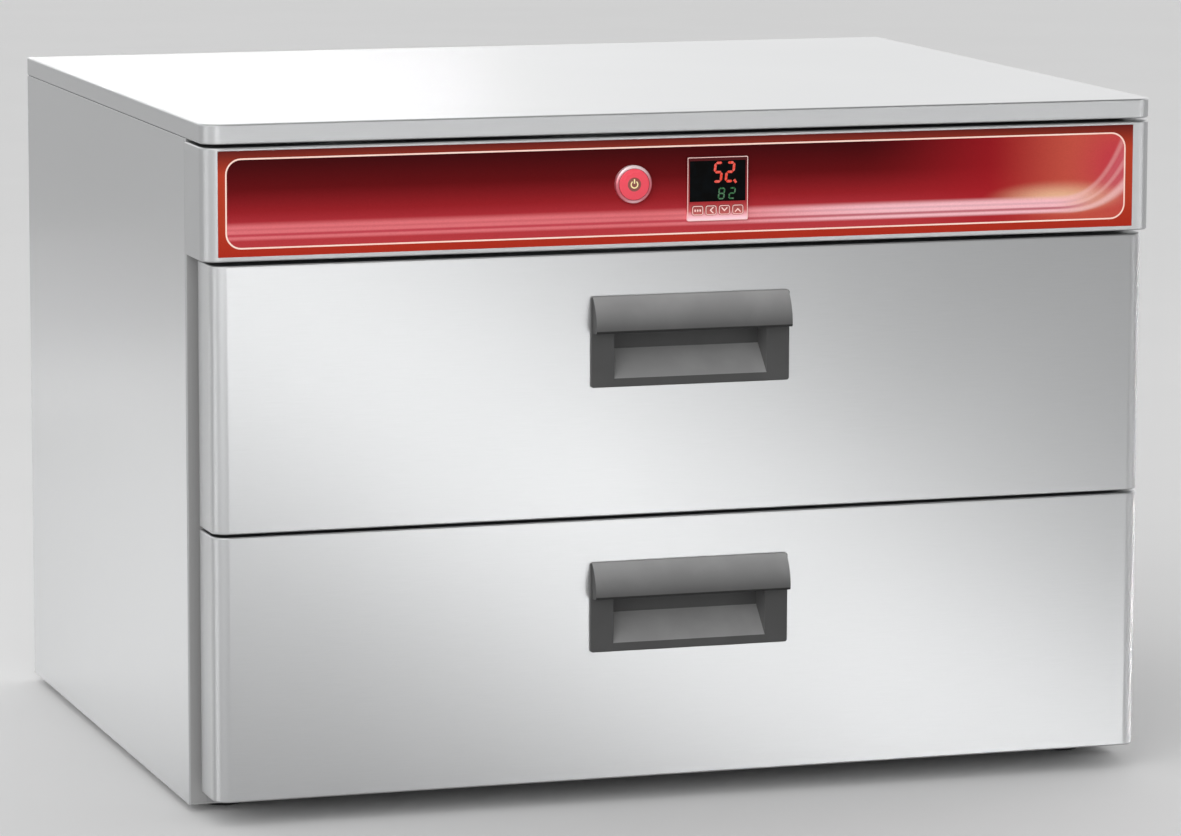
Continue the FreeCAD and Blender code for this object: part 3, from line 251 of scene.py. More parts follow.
def brushed_steel(name, shade, roughness, grain, bends=None, dull_front=None):
    """Sheet with a hair-fine grain along one axis and faint clouding. bends is the box and radius of round
    upright bends. Before the depth dull_front, what faces the front is duller."""
    surface = Surface(name, roughness, metallic=1.0)
    lines = surface.noise([GRAIN_LENGTH if axis == grain else GRAIN_WIDTH for axis in "xyz"])
    clouds = surface.noise([CLOUD_SIZE] * 3, shift=3.1)
    toned = surface.mix(surface.step(lines, *NOISE_MIDDLE), scaled(shade, GRAIN_SHADE), shade)
    colour = surface.mix(surface.step(clouds, *CLOUD_EDGES, 0, CLOUD_STRENGTH), toned, shade)
    if dull_front:
        facing = surface.vector("DOT_PRODUCT", surface.normal(), (0.0, -1.0, 0.0))
        on_strip = surface.math("MULTIPLY", surface.step(facing, *FACING_FRONT),
                                surface.math("LESS_THAN", surface.axis("y"), dull_front))
        surface.feed(surface.shader.inputs["Metallic"], surface.math("SUBTRACT", 1.0, on_strip))
        colour = surface.mix(on_strip, colour, DULL_SHADE)
    surface.colour(colour)
    surface.roughness(roughness, 0.02, surface.mix(0.5, lines, clouds))
    surface.relief(lines, GRAIN_DEPTH, strength=0.3, bends=bends)
    return surface.material


def bent_sheet(name, node, radius):
    """The cabinet's satin steel on a node whose front has round upright bends."""
    return brushed_steel(name, SATIN_SHADE, SATIN_ROUGHNESS, grain="x", bends=(*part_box(node), radius))


# How much lighter moulded pieces are where they are worn.
WORN_SHADE = 1.12


def moulded(name, shade, roughness, depth=0.02 * MM, **constants):
    """Moulded plastic, rubber or ink with a fine pebbled skin and patches worn a little lighter."""
    surface = Surface(name, roughness, **constants)
    pebbles = surface.noise([0.35 * MM] * 3)
    patches = surface.noise([40 * MM] * 3, detail=3, shift=1.7)
    surface.colour(surface.mix(surface.step(patches, *NOISE_UPPER), shade, scaled(shade, WORN_SHADE)))
    surface.roughness(roughness, 0.06, patches)
    surface.relief(pebbles, depth, strength=0.4)
    return surface.material


# The handles: how far the hood stands out from the plate, and how far before the plate its painted shading
# begins.
HOOD_DEPTH = 10.5 * MM
HOOD_ROOT = (0.6 * MM, 0.2 * MM)
# The handles' greys, painted shade and light: for the hood by how far up it faces, and how far up a ramp and
# aside an end face.
HOOD_PAINTED_SHADES = ((0.42, grey(40)), (0.5, grey(88)), (0.85, grey(162)))
HOOD_END_PAINTED_SHADE = grey(84)
PLATE_RIM_PAINTED_SHADE = grey(79)
RAMP_PAINTED_LIGHT = grey(156)
POCKET_WALL_PAINTED_SHADE = grey(104)
FACING_UP = (0.05, 0.2)
FACING_ASIDE = (0.5, 0.8)


def handle_skin(name):
    """Grey plastic with painted shade: the hood darker as it turns down to its lip, a lighter ramp, a dark
    rim.
    """
    surface = Surface(name, 0.5, specular_ior_level=0.3)
    facing = surface.node("SeparateXYZ")
    surface.feed(facing.inputs[0], surface.normal())
    upward, sideways = facing.outputs["Z"], surface.math("ABSOLUTE", facing.outputs["X"])
    plate_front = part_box("upper_handle")[0].y + HOOD_DEPTH
    root_start, root_end = (plate_front - before for before in HOOD_ROOT)
    # Painted shade and light: each face's grey follows how it is turned, darker at the lip, rim, ends and
    # pocket walls, lighter on the hood's top and the ramp.
    on_hood = surface.step(surface.axis("y"), root_start, root_end, 1.0, 0.0)
    on_ramp = surface.step(upward, *FACING_UP)
    on_end = surface.step(sideways, *FACING_ASIDE)
    hood = surface.ramp(surface.step(upward, -1.0, 1.0, smooth=False), *HOOD_PAINTED_SHADES)
    along = surface.mix(on_hood, surface.mix(on_ramp, PLATE_RIM_PAINTED_SHADE, RAMP_PAINTED_LIGHT), hood)
    colour = surface.mix(on_end, along, surface.mix(on_hood, POCKET_WALL_PAINTED_SHADE, HOOD_END_PAINTED_SHADE))
    pebbles = surface.noise([0.3 * MM] * 3)
    patches = surface.noise([30 * MM] * 3, detail=3, shift=1.7)
    darker = surface.mix(1.0, colour, grey(243), "MULTIPLY")
    surface.colour(surface.mix(surface.step(patches, *NOISE_UPPER), darker, colour))
    surface.roughness(0.5, 0.05, patches)
    surface.relief(pebbles, 0.02 * MM, strength=0.35)
    return surface.material


def wool(name):
    """Pressed mineral wool: tangled yellow-brown fibres."""
    surface = Surface(name, 0.95)
    fibres = surface.noise([0.8 * MM, 12 * MM, 0.8 * MM], detail=4)
    tufts = surface.noise([6 * MM] * 3, detail=4, shift=2.0)
    surface.colour(surface.ramp(fibres, (0.3, srgb(150, 128, 80)), (0.7, srgb(220, 202, 150))))
    surface.roughness(0.95, 0.04, tufts)
    surface.relief(surface.math("ADD", fibres, tufts), 1.2 * MM, rounding=2 * MM)
    return surface.material


def lit(name, shade, strength):
    """A lit mark: a coloured light source with a faint uneven glow."""
    surface = Surface(name, 0.5, specular_ior_level=0.1, emission_strength=strength)
    glow = surface.noise([1.5 * MM] * 3, detail=1)
    bright = surface.mix(surface.step(glow, *NOISE_MIDDLE, 0, 0.12), shade, grey(255))
    surface.colour(surface.mix(1.0, bright, grey(70), "MULTIPLY"))
    surface.feed(surface.shader.inputs["Emission Color"], bright)
    return surface.material


# The printed film on the fascia, measured from the film's own box.
film_low, film_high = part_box("control_overlay")
FILM_FRAME = 5.5 * MM
FILM_FOOT = 5.6 * MM
FILM_END = 6.05 * MM
LINE_WIDTH = 1.2 * MM
FIELD_RADIUS = 12 * MM
PRINT_SOFTNESS = 0.1 * MM
field_left = film_low.x + FILM_FRAME
field_right = film_high.x - FILM_END
field_bottom = film_low.z + FILM_FOOT
field_top = film_high.z - FILM_FRAME

# Shades of the line, the frame outside it and the field inside it, from the foot of each to its top.
LINE_SHADE = srgb(255, 214, 200)
FRAME_SHADES = (
    (0.0, srgb(172, 44, 29)), (0.3, srgb(178, 60, 38)), (0.78, srgb(180, 62, 40)), (1.0, srgb(98, 32, 28)),
)
FIELD_SHADES = (
    (0.0, srgb(184, 60, 65)), (0.24, srgb(178, 50, 58)), (0.41, srgb(148, 30, 36)), (0.66, srgb(98, 12, 16)),
    (1.0, srgb(58, 5, 8)),
)
# Shades that the field takes on across: the shade, where it begins and is full in X, and its strength there.
FIELD_TINTS = (
    (srgb(166, 28, 36), 130 * MM, 270 * MM, 0.75),
    (srgb(198, 85, 69), 235 * MM, 320 * MM, 0.92),
)
# Soft patches near the field's right end: shade, strength, and middle and half size across and up.
SOFT_PATCHES = (
    (srgb(196, 58, 72), 1.0, (350 * MM, 472 * MM), (52 * MM, 50 * MM)),
    (srgb(236, 186, 150), 0.95, (297 * MM, 449 * MM), (66 * MM, 15 * MM)),
)

# The pale band near the field's foot, by heights above it, and its shades at the left and at the right.
BAND_FOOT = (5.5 * MM, 8.1 * MM, 0.0, 1.0)
BAND_HEAD = (15.6 * MM, 20.6 * MM, 1.0, 0.0)
BAND_SHADES = (srgb(223, 114, 119), srgb(248, 190, 197))
BAND_TURNS_PALE = (-30 * MM, 170 * MM)
# The lines that part the band: height in it, spread, strength, and shades at the left and at the right.
BAND_LINES = (
    (10.1 * MM, 1.7 * MM, 0.9, srgb(188, 62, 74), srgb(186, 98, 108)),
    (14.2 * MM, 1.4 * MM, 0.4, srgb(196, 84, 92), srgb(206, 150, 160)),
)
# The band sweeps up past this place: one sweep length farther on it is twice as high and this strong.
SWEEP_START = 291 * MM
SWEEP_LENGTH = 43 * MM
SWEEP_POWER = 3
SWEEP_STRENGTH = 0.1
# Pale streaks into which the band parts there: height in it, spread and strength.
BAND_TAILS = ((7.2 * MM, 2.2 * MM, 0.66), (12.0 * MM, 1.5 * MM, 0.3), (17.4 * MM, 2.2 * MM, 0.26))
TAIL_SHADE = srgb(246, 200, 196)
TAIL_LENGTH = 25.8 * MM
STREAK_CORE = 0.2 * MM


def rounded_distance(surface, left, right, bottom, top, radius):
    """Distance outside a rounded rectangle in the XZ plane, below nothing inside it."""
    def over(axis, low, high):
        middle, half = (low + high) / 2, (high - low) / 2 - radius
        away = surface.math("ABSOLUTE", surface.math("SUBTRACT", surface.axis(axis), middle))
        return surface.math("MAXIMUM", surface.math("SUBTRACT", away, half), 0.0)
    across, up = over("x", left, right), over("z", bottom, top)
    squares = surface.math("ADD", surface.math("MULTIPLY", across, across), surface.math("MULTIPLY", up, up))
    return surface.math("SUBTRACT", surface.math("SQRT", squares), radius)


def soft_patch(surface, strength, middle, half):
    """A round soft patch on the film: strongest at its middle and gone at its half sizes."""
    squares = []
    for axis, place, size in zip("xz", middle, half):
        away = surface.math("DIVIDE", surface.math("SUBTRACT", surface.axis(axis), place), size)
        squares.append(surface.math("MULTIPLY", away, away))
    return surface.step(surface.math("SQRT", surface.math("ADD", *squares)), 0.0, 1.0, strength, 0.0)


def streak(surface, value, height, spread, strength):
    """A soft streak where a value is near a height: strongest in its core, and gone at its spread."""
    away = surface.math("ABSOLUTE", surface.math("SUBTRACT", value, height))
    return surface.step(away, STREAK_CORE, spread, strength, 0.0)


def swept_height(surface):
    """Height above the field's foot, in units that grow from one along the sweep."""
    past = surface.math("MAXIMUM", surface.math("SUBTRACT", surface.axis("x"), SWEEP_START), 0.0)
    growth = surface.math("POWER", surface.math("DIVIDE", past, SWEEP_LENGTH), SWEEP_POWER)
    rise = surface.math("SUBTRACT", surface.axis("z"), field_bottom)
    return surface.math("DIVIDE", rise, surface.math("ADD", growth, 1.0))


def banded(surface, field):
    """Lay the pale band, its lines and its tails over the field."""
    across, up = surface.axis("x"), swept_height(surface)
    paler = surface.step(across, *BAND_TURNS_PALE)
    fading = surface.step(across, SWEEP_START, SWEEP_START + SWEEP_LENGTH, 1.0, SWEEP_STRENGTH)
    band = surface.math("MULTIPLY", surface.step(up, *BAND_FOOT), surface.step(up, *BAND_HEAD))
    field = surface.mix(surface.math("MULTIPLY", band, fading), field, surface.mix(paler, *BAND_SHADES))
    for height, spread, strength, left_shade, right_shade in BAND_LINES:
        mask = surface.math("MULTIPLY", streak(surface, up, height, spread, strength), fading)
        field = surface.mix(mask, field, surface.mix(paler, left_shade, right_shade))
    parting = surface.step(across, SWEEP_START, SWEEP_START + TAIL_LENGTH)
    for height, spread, strength in BAND_TAILS:
        mask = surface.math("MULTIPLY", streak(surface, up, height, spread, strength), parting)
        field = surface.mix(mask, field, TAIL_SHADE)
    return field


def film_colour(surface):
    """Red print: a field that runs from dark at the top to light at the foot, with pale bands, in a frame."""
    across, up = surface.axis("x"), surface.axis("z")
    field = surface.ramp(surface.step(up, field_bottom, field_top, smooth=False), *FIELD_SHADES)
    for shade, start, full, strength in FIELD_TINTS:
        field = surface.mix(surface.step(across, start, full, 0.0, strength), field, shade)
    for shade, *patch in SOFT_PATCHES:
        field = surface.mix(soft_patch(surface, *patch), field, shade)
    border = surface.ramp(surface.step(up, film_low.z, film_high.z, smooth=False), *FRAME_SHADES)
    distance = rounded_distance(surface, field_left, field_right, field_bottom, field_top, FIELD_RADIUS)
    on_border = surface.step(distance, -PRINT_SOFTNESS, PRINT_SOFTNESS)
    return surface.mix(on_border, banded(surface, field), border)


def printed_film(name):
    """Satin plastic film with a fine dotted print."""
    surface = Surface(name, 0.36, specular_ior_level=0.06)
    grain = surface.noise([0.6 * MM] * 3)
    dots = surface.noise([0.4 * MM] * 3, detail=1, shift=4.0)
    colour = film_colour(surface)
    darker = surface.mix(1.0, colour, grey(240), "MULTIPLY")
    surface.colour(surface.mix(surface.step(dots, *NOISE_MIDDLE), colour, darker))
    surface.roughness(0.36, 0.05, dots)
    surface.relief(grain, 0.004 * MM, strength=0.3, rounding=0.15 * MM)
    return surface.material


# Skins of the controls, shaded from the foot of each to its top. The controller's pale pink foot is a painted
# highlight.
CONTROLLER_SHADES_WITH_PAINTED_HIGHLIGHT = (
    (0.0, srgb(255, 222, 232)), (0.08, srgb(244, 178, 186)), (0.16, srgb(196, 84, 84)),
    (0.28, srgb(160, 44, 48)), (1.0, srgb(64, 12, 16)),
)
KEY_SHADES = ((0.0, srgb(196, 92, 88)), (1.0, srgb(140, 52, 50)))
# The ring's pale foot and top are painted highlights on its pink.
RING_SHADES_WITH_PAINTED_HIGHLIGHTS = (
    (0.0, srgb(240, 206, 212)), (0.1, srgb(214, 130, 140)), (0.3, srgb(206, 100, 112)),
    (0.62, srgb(216, 128, 138)), (0.86, srgb(246, 208, 212)), (1.0, srgb(255, 240, 240)),
)


def shaded_skin(name, node, shades, roughness, spread, grain, depth, detail=2, strength=0.3, **constants):
    """A fine-grained skin whose colour runs from a node's foot to its top, with painted highlights where the
    stops hold them.
    """
    surface = Surface(name, roughness, **constants)
    low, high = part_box(node)
    skin = surface.noise([grain] * 3, detail=detail)
    surface.colour(surface.ramp(surface.step(surface.axis("z"), low.z, high.z, smooth=False), *shades))
    surface.roughness(roughness, spread, skin)
    surface.relief(skin, depth, strength=strength, rounding=0.3 * MM)
    return surface.material


def smoked_window(name):
    """Dark glossy window with a faint haze."""
    surface = Surface(name, 0.12, specular_ior_level=0.04)
    haze = surface.noise([9 * MM] * 3, detail=4)
    surface.colour(surface.mix(surface.step(haze, 0.4, 0.7), grey(8), srgb(10, 13, 15)))
    surface.roughness(0.12, 0.04, haze)
    surface.relief(haze, 0.004 * MM, strength=0.2, rounding=0.15 * MM)
    return surface.material


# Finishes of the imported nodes, by the record's slots.
finishes = {
    "satin_steel": brushed_steel("satin_steel", SATIN_SHADE, SATIN_ROUGHNESS, grain="x"),
    "liner_steel": brushed_steel("liner_steel", grey(205), roughness=0.38, grain="x"),
    "pan_steel": brushed_steel("pan_steel", grey(228), roughness=0.24, grain="y"),
    "zinc_steel": brushed_steel("zinc_steel", srgb(196, 200, 206), roughness=0.36, grain="y"),
    "screw_steel": brushed_steel("screw_steel", grey(205), roughness=0.3, grain="x"),
    "heater_sheath": moulded("heater_sheath", srgb(92, 84, 80), roughness=0.55, metallic=0.8),
    "printed_film": printed_film("printed_film"),
    "handle_plastic": handle_skin("handle_plastic"),
    "bezel_plastic": shaded_skin("bezel_plastic", "controller_bezel", CONTROLLER_SHADES_WITH_PAINTED_HIGHLIGHT, roughness=0.34,
                                 spread=0.04, grain=0.5 * MM, depth=0.01 * MM, specular_ior_level=0.15),
    "display_window": smoked_window("display_window"),
    "key_plastic": shaded_skin("key_plastic", "mode_key", KEY_SHADES, roughness=0.42, spread=0.05,
                               grain=0.4 * MM, depth=0.01 * MM, strength=0.4),
    "case_plastic": moulded("case_plastic", grey(46), roughness=0.5),
    "button_plastic": moulded("button_plastic", srgb(230, 66, 84), roughness=0.25, depth=0.004 * MM,
                              coat_weight=0.5),
    "chrome_ring": shaded_skin("chrome_ring", "power_switch_bezel", RING_SHADES_WITH_PAINTED_HIGHLIGHTS, roughness=0.16, spread=0.03,
                               grain=0.8 * MM, depth=0.001 * MM, detail=3, metallic=0.5),
    "silicone_seal": moulded("silicone_seal", grey(62), roughness=0.55),
    "foot_rubber": moulded("foot_rubber", grey(42), roughness=0.7),
    "mineral_wool": wool("mineral_wool"),
    "probe_steel": brushed_steel("probe_steel", grey(214), roughness=0.22, grain="y"),
    "thermostat_metal": brushed_steel("thermostat_metal", grey(215), roughness=0.34, grain="x"),
}

# The same steel on nodes with bends or a flange of their own.
drawer_steel = bent_sheet("drawer_steel", "upper_drawer_front", DRAWER_BEND)
side_steel = brushed_steel("side_steel", SATIN_SHADE, SATIN_ROUGHNESS, grain="x", dull_front=FLANGE_DEPTH)
own_steels = {
    "upper_drawer_front": drawer_steel,
    "lower_drawer_front": drawer_steel,
    "control_fascia": bent_sheet("fascia_steel", "control_fascia", CABINET_BEND),
    "top_panel": bent_sheet("top_steel", "top_panel", CABINET_BEND),
    "left_side_panel": side_steel,
    "right_side_panel": side_steel,
}


def dress_nodes():
    """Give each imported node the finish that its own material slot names."""
    for name, node in nodes.items():
        for place, old in enumerate(node.data.materials):
            slot = old.name.split(".")[0]
            own = own_steels.get(name) if slot == "satin_steel" else None
            node.data.materials[place] = own or finishes[slot]


# Points along each rounded corner, on a thick arc and round a turned piece.
CORNER_STEPS = 8
SMALL_CORNER_STEPS = 4
ARC_STEPS = 28
TURN_STEPS = 72


def around(centre, radius, degrees):
    """The point at an angle on a circle in the XZ plane."""
    angle = math.radians(degrees)
    return (centre[0] + radius * math.cos(angle), centre[1] + radius * math.sin(angle))


def rounded_box(left, right, bottom, top, radius, steps=CORNER_STEPS):
    """Corner-rounded rectangle as points of the XZ plane, anticlockwise from the right."""
    corners = (((right - radius, top - radius), 0), ((left + radius, top - radius), 90),
               ((left + radius, bottom + radius), 180), ((right - radius, bottom + radius), 270))
    turns = [90 * i / steps for i in range(steps + 1)]
    return [around(centre, radius, start + turn) for centre, start in corners for turn in turns]


def ring_shape(left, right, bottom, top, radius, width):
    """Outer and inner outline of a rounded frame line."""
    outer = rounded_box(left, right, bottom, top, radius)
    inner = rounded_box(left + width, right - width, bottom + width, top - width, radius - width)
    return outer, inner


def rows(mesh, outline, face):
    """An outline's points twice, a hair before a face and on it."""
    return [[mesh.verts.new((x, y, z)) for x, z in outline] for y in (face - PRINT_THICKNESS, face)]


def add_frame(mesh, outer, inner, face):
    """A flat frame between two outlines with as many points."""
    outer_near, outer_far = rows(mesh, outer, face)
    inner_near, inner_far = rows(mesh, inner, face)
    for i in range(len(outer)):
        j = (i + 1) % len(outer)
        mesh.faces.new((outer_near[i], outer_near[j], inner_near[j], inner_near[i]))
        mesh.faces.new((outer_far[i], inner_far[i], inner_far[j], outer_far[j]))
        mesh.faces.new((outer_near[i], outer_far[i], outer_far[j], outer_near[j]))
        mesh.faces.new((inner_near[i], inner_near[j], inner_far[j], inner_far[i]))


def add_plate(mesh, outline, face):
    """A flat plate inside an outline."""
    near, far = rows(mesh, outline, face)
    mesh.faces.new(near)
    mesh.faces.new(far[::-1])
    for i in range(len(outline)):
        j = (i + 1) % len(outline)
        mesh.faces.new((near[i], far[i], far[j], near[j]))


def flat_piece(name, shapes, face, body, material):
    """Flat shapes that stand a hair proud of a face that looks towards -Y. A shape is one outline, or an
    outer and an inner one with as many points."""
    mesh = bmesh.new()
    for shape in shapes:
        if isinstance(shape, tuple):
            add_frame(mesh, *shape, face)
        else:
            add_plate(mesh, shape, face)
    bmesh.ops.recalc_face_normals(mesh, faces=mesh.faces)
    return finished(name, mesh, body, material)


def turned(name, profile, centre, body, material):
    """A piece turned about an axis along Y, from radius and depth pairs; depths run towards -Y."""
    mesh = bmesh.new()
    rings = []
    for radius, y in profile:
        points = [around(centre, radius, 360 * i / TURN_STEPS) for i in range(TURN_STEPS if radius else 1)]
        rings.append([mesh.verts.new((x, y, z)) for x, z in points])
    for low, high in zip(rings, rings[1:]):
        for i in range(TURN_STEPS):
            j = (i + 1) % TURN_STEPS
            corners = [low[i % len(low)], low[j % len(low)], high[j % len(high)], high[i % len(high)]]
            mesh.faces.new(list(dict.fromkeys(corners)))
    bmesh.ops.recalc_face_normals(mesh, faces=mesh.faces)
    for face in mesh.faces:
        face.smooth = True
    return finished(name, mesh, body, material)


def placed(name, mesh, material):
    """Turn a mesh into an object of the scene."""
    data = bpy.data.meshes.new(name)
    mesh.to_mesh(data)
    mesh.free()
    data.materials.append(material)
    piece = bpy.data.objects.new(name, data)
    bpy.context.scene.collection.objects.link(piece)
    return piece


def finished(name, mesh, body, material):
    """Turn a mesh into a piece with a finish that rides on a body."""
    piece = placed(name, mesh, material)
    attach(piece, body)
    return piece


def middle_of(low, high):
    """The middle of a box in the XZ plane."""
    return ((low.x + high.x) / 2, (low.z + high.z) / 2)


# Digits of the display, as bars between the corners of a tall box: name, start corner, end corner.
BARS = {
    "a": ((0, 2), (1, 2)), "b": ((1, 2), (1, 1)), "c": ((1, 1), (1, 0)), "d": ((0, 0), (1, 0)),
    "e": ((0, 1), (0, 0)), "f": ((0, 2), (0, 1)), "g": ((0, 1), (1, 1)),
}
LIT_BARS = {"2": "abged", "5": "afgcd", "8": "abcdefg"}
SLANT = 0.1
BAR_GAP = 0.12

window_low, window_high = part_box("controller_window")

# Rows of digits: where the first starts, right of and down from the window's corner, and the step on.
UPPER_DIGITS = dict(right=19.2 * MM, down=15.8 * MM, step=9.4 * MM, width=5.4 * MM, height=14.0 * MM,
                    thickness=1.9 * MM)
LOWER_DIGITS = dict(right=22.8 * MM, down=28.8 * MM, step=8.4 * MM, width=4.2 * MM, height=7.8 * MM,
                    thickness=1.1 * MM)
# Corners of the slanted point after the upper row, right of and down from the window's corner.
POINT_CORNERS = (
    (36.2 * MM, 17.6 * MM), (37.6 * MM, 16.6 * MM), (36.0 * MM, 14.2 * MM), (34.4 * MM, 15.2 * MM),
)

# Printed lines on the controller: the outline of its face, the rims of its keys and the marks on them.
THIN_LINE = 0.55 * MM
FACE_LINE_INSET = 0.1 * MM
FACE_LINE_RADIUS = 1.0 * MM
KEY_LINE_INSET = 0.3 * MM
KEY_LINE_RADIUS = 1.8 * MM
CHEVRON_SIZE = 4.6 * MM
CHEVRON_WIDTH = 0.9 * MM
CHEVRON_TURNS = {"shift_key": -90, "down_key": 0, "up_key": 180}
DASH_STEP = 2.0 * MM
DASH_SIZE = Vector((1.2 * MM, 1.8 * MM))
DASH_RADIUS = 0.4 * MM

# The power button's lens, and the broken ring and bar of its stand-by sign.
LENS_RADIUS = 5.2 * MM
LENS_CROWN = 0.16 * MM
SIGN_RADIUS = 2.6 * MM
SIGN_WIDTH = 0.9 * MM
SIGN_ARC = (125, 415)
SIGN_BAR = (0.6 * MM, 4.0 * MM)
SIGN_BAR_WIDTH = 1.0 * MM
SIGN_BAR_RADIUS = 0.3 * MM


def bar_outline(start, end, thickness):
    """Long six-sided bar between two points."""
    first, last = Vector(start), Vector(end)
    along = (last - first).normalized()
    side = Vector((-along.y, along.x)) * thickness / 2
    gap, shoulder = along * thickness * BAR_GAP, along * thickness / 2
    first, last = first + gap, last - gap
    return [first, first + shoulder - side, last - shoulder - side, last, last - shoulder + side,
            first + shoulder + side]


def digit_row(marks, right, down, step, width, height, thickness):
    """Outlines of a row of slanted seven-bar digits."""
    outlines = []
    for place, mark in enumerate(marks):
        left, foot = window_low.x + right + place * step, window_high.z - down
        for bar in LIT_BARS[mark]:
            ends = [(width * across, height / 2 * up) for across, up in BARS[bar]]
            outlines.append([(left + x + SLANT * z, foot + z) for x, z in bar_outline(*ends, thickness)])
    return outlines


def chevron(centre, size, width, turn):
    """A V of even width that points down, turned anticlockwise by an angle in degrees."""
    arm = size / 2
    rise = width * math.sqrt(2)
    points = [(-arm, arm / 2), (0, -arm / 2), (arm, arm / 2), (arm, arm / 2 + rise), (0, -arm / 2 + rise),
              (-arm, arm / 2 + rise)]
    angle = math.radians(turn)
    return [(centre[0] + x * math.cos(angle) - z * math.sin(angle),
             centre[1] + x * math.sin(angle) + z * math.cos(angle)) for x, z in points]


def arc_band(centre, radius, width, start, end):
    """A band of even width along an arc, from one angle to another in degrees."""
    angles = [start + (end - start) * i / ARC_STEPS for i in range(ARC_STEPS + 1)]
    outer = [around(centre, radius + width / 2, angle) for angle in angles]
    inner = [around(centre, radius - width / 2, angle) for angle in angles]
    return outer + inner[::-1]


def inset_ring(low, high, inset, radius):
    """A thin rounded line set in from the edges of a box."""
    return ring_shape(low.x + inset, high.x - inset, low.z + inset, high.z - inset, radius, THIN_LINE)


def three_dashes(centre):
    """Outlines of three short upright dashes side by side."""
    half = DASH_SIZE / 2
    middles = [centre[0] + place * DASH_STEP for place in (-1, 0, 1)]
    return [rounded_box(middle - half.x, middle + half.x, centre[1] - half.y, centre[1] + half.y, DASH_RADIUS,
                        SMALL_CORNER_STEPS) for middle in middles]


def film_line():
    """The pale line between the film's field and its frame."""
    line = moulded("cream_ink", LINE_SHADE, roughness=0.4, depth=0.002 * MM)
    shape = ring_shape(field_left, field_right, field_bottom, field_top, FIELD_RADIUS, LINE_WIDTH)
    flat_piece("film_line", [shape], film_low.y, "cabinet", line)


def display_marks():
    """Lit digits and point in the controller's window."""
    red = lit("lit_red", srgb(240, 62, 34), strength=0.85)
    green = lit("lit_green", srgb(16, 104, 46), strength=0.8)
    glass = window_low.y
    upper, lower = digit_row("52", **UPPER_DIGITS), digit_row("82", **LOWER_DIGITS)
    point = [(window_low.x + right, window_high.z - down) for right, down in POINT_CORNERS]
    flat_piece("display_upper_digits", upper, glass, "cabinet", red)
    flat_piece("display_lower_digits", lower, glass, "cabinet", green)
    flat_piece("display_point", [point], glass, "cabinet", red)


def controller_marks():
    """Outline of the controller's face, digits in its window and marks on its keys."""
    pink = moulded("pink_ink", srgb(255, 208, 202), roughness=0.35, depth=0.002 * MM)
    low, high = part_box("controller_bezel")
    outline = inset_ring(low, high, FACE_LINE_INSET, FACE_LINE_RADIUS)
    flat_piece("controller_outline", [outline], low.y, "cabinet", pink)
    display_marks()
    for key in KEYS:
        low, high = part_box(key)
        centre = middle_of(low, high)
        marks = [inset_ring(low, high, KEY_LINE_INSET, KEY_LINE_RADIUS)]
        if key in CHEVRON_TURNS:
            marks.append(chevron(centre, CHEVRON_SIZE, CHEVRON_WIDTH, CHEVRON_TURNS[key]))
        else:
            marks += three_dashes(centre)
        flat_piece(f"{key}_marks", marks, low.y, key, pink)


def power_marks():
    """Lens and lit stand-by sign on the power button."""
    low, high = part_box("power_button")
    centre = middle_of(low, high)
    front = low.y - LENS_CROWN
    lens = moulded("smoked_lens", srgb(128, 62, 52), roughness=0.15, depth=0.003 * MM, coat_weight=1.0)
    angles = [math.radians(degrees) for degrees in range(0, 90, 10)]
    profile = [(LENS_RADIUS * math.cos(angle), low.y - LENS_CROWN * math.sin(angle)) for angle in angles]
    turned("button_lens", profile + [(0, front)], centre, "power_button", lens)
    glow = lit("lit_cream", srgb(255, 236, 170), strength=0.9)
    foot, top = SIGN_BAR
    bar = rounded_box(centre[0] - SIGN_BAR_WIDTH / 2, centre[0] + SIGN_BAR_WIDTH / 2, centre[1] + foot,
                      centre[1] + top, SIGN_BAR_RADIUS, SMALL_CORNER_STEPS)
    ring = arc_band(centre, SIGN_RADIUS, SIGN_WIDTH, *SIGN_ARC)
    flat_piece("standby_mark", [ring, bar], front, "power_button", glow)


# The camera, fitted to the photograph's edges.
CAMERA_LENS = 173.43
CAMERA_SENSOR = 36
CAMERA_AZIMUTH = math.radians(-17.82)
CAMERA_ELEVATION = math.radians(8.533)
CAMERA_ROLL = math.radians(0.15)
CAMERA_DISTANCE = 4.521
CAMERA_TARGET = Vector((0.0009, -0.0472, 0.2560))


def photograph_camera():
    """A camera that looks at the part as the photograph does."""
    camera = bpy.data.objects.new("camera", bpy.data.cameras.new("camera"))
    bpy.context.scene.collection.objects.link(camera)
    camera.data.lens = CAMERA_LENS
    camera.data.sensor_width = CAMERA_SENSOR
    back = Vector((math.sin(CAMERA_AZIMUTH) * math.cos(CAMERA_ELEVATION),
                   -math.cos(CAMERA_AZIMUTH) * math.cos(CAMERA_ELEVATION), math.sin(CAMERA_ELEVATION)))
    right = Vector((math.cos(CAMERA_AZIMUTH), math.sin(CAMERA_AZIMUTH), 0))
    turn = Matrix((right, back.cross(right), back)).transposed().to_4x4()
    turn = turn @ Matrix.Rotation(CAMERA_ROLL, 4, "Z")
    camera.matrix_world = Matrix.Translation(CAMERA_TARGET + back * CAMERA_DISTANCE) @ turn
    bpy.context.scene.camera = camera


# The studio's floor and the size of its faint clouds.
FLOOR_RADIUS = 25
FLOOR_CLOUDS = 0.4


def studio_floor():
    """A plain pale round floor."""
    surface = Surface("studio_floor", 0.8)
    clouds = surface.noise([FLOOR_CLOUDS] * 3, detail=3)
    surface.colour(surface.mix(surface.step(clouds, *NOISE_MIDDLE), grey(234), grey(236)))
    surface.roughness(0.8, 0.05, clouds)
    mesh = bmesh.new()
    bmesh.ops.create_circle(mesh, cap_ends=True, segments=96, radius=FLOOR_RADIUS)
    floor = placed("studio_floor", mesh, surface.material)


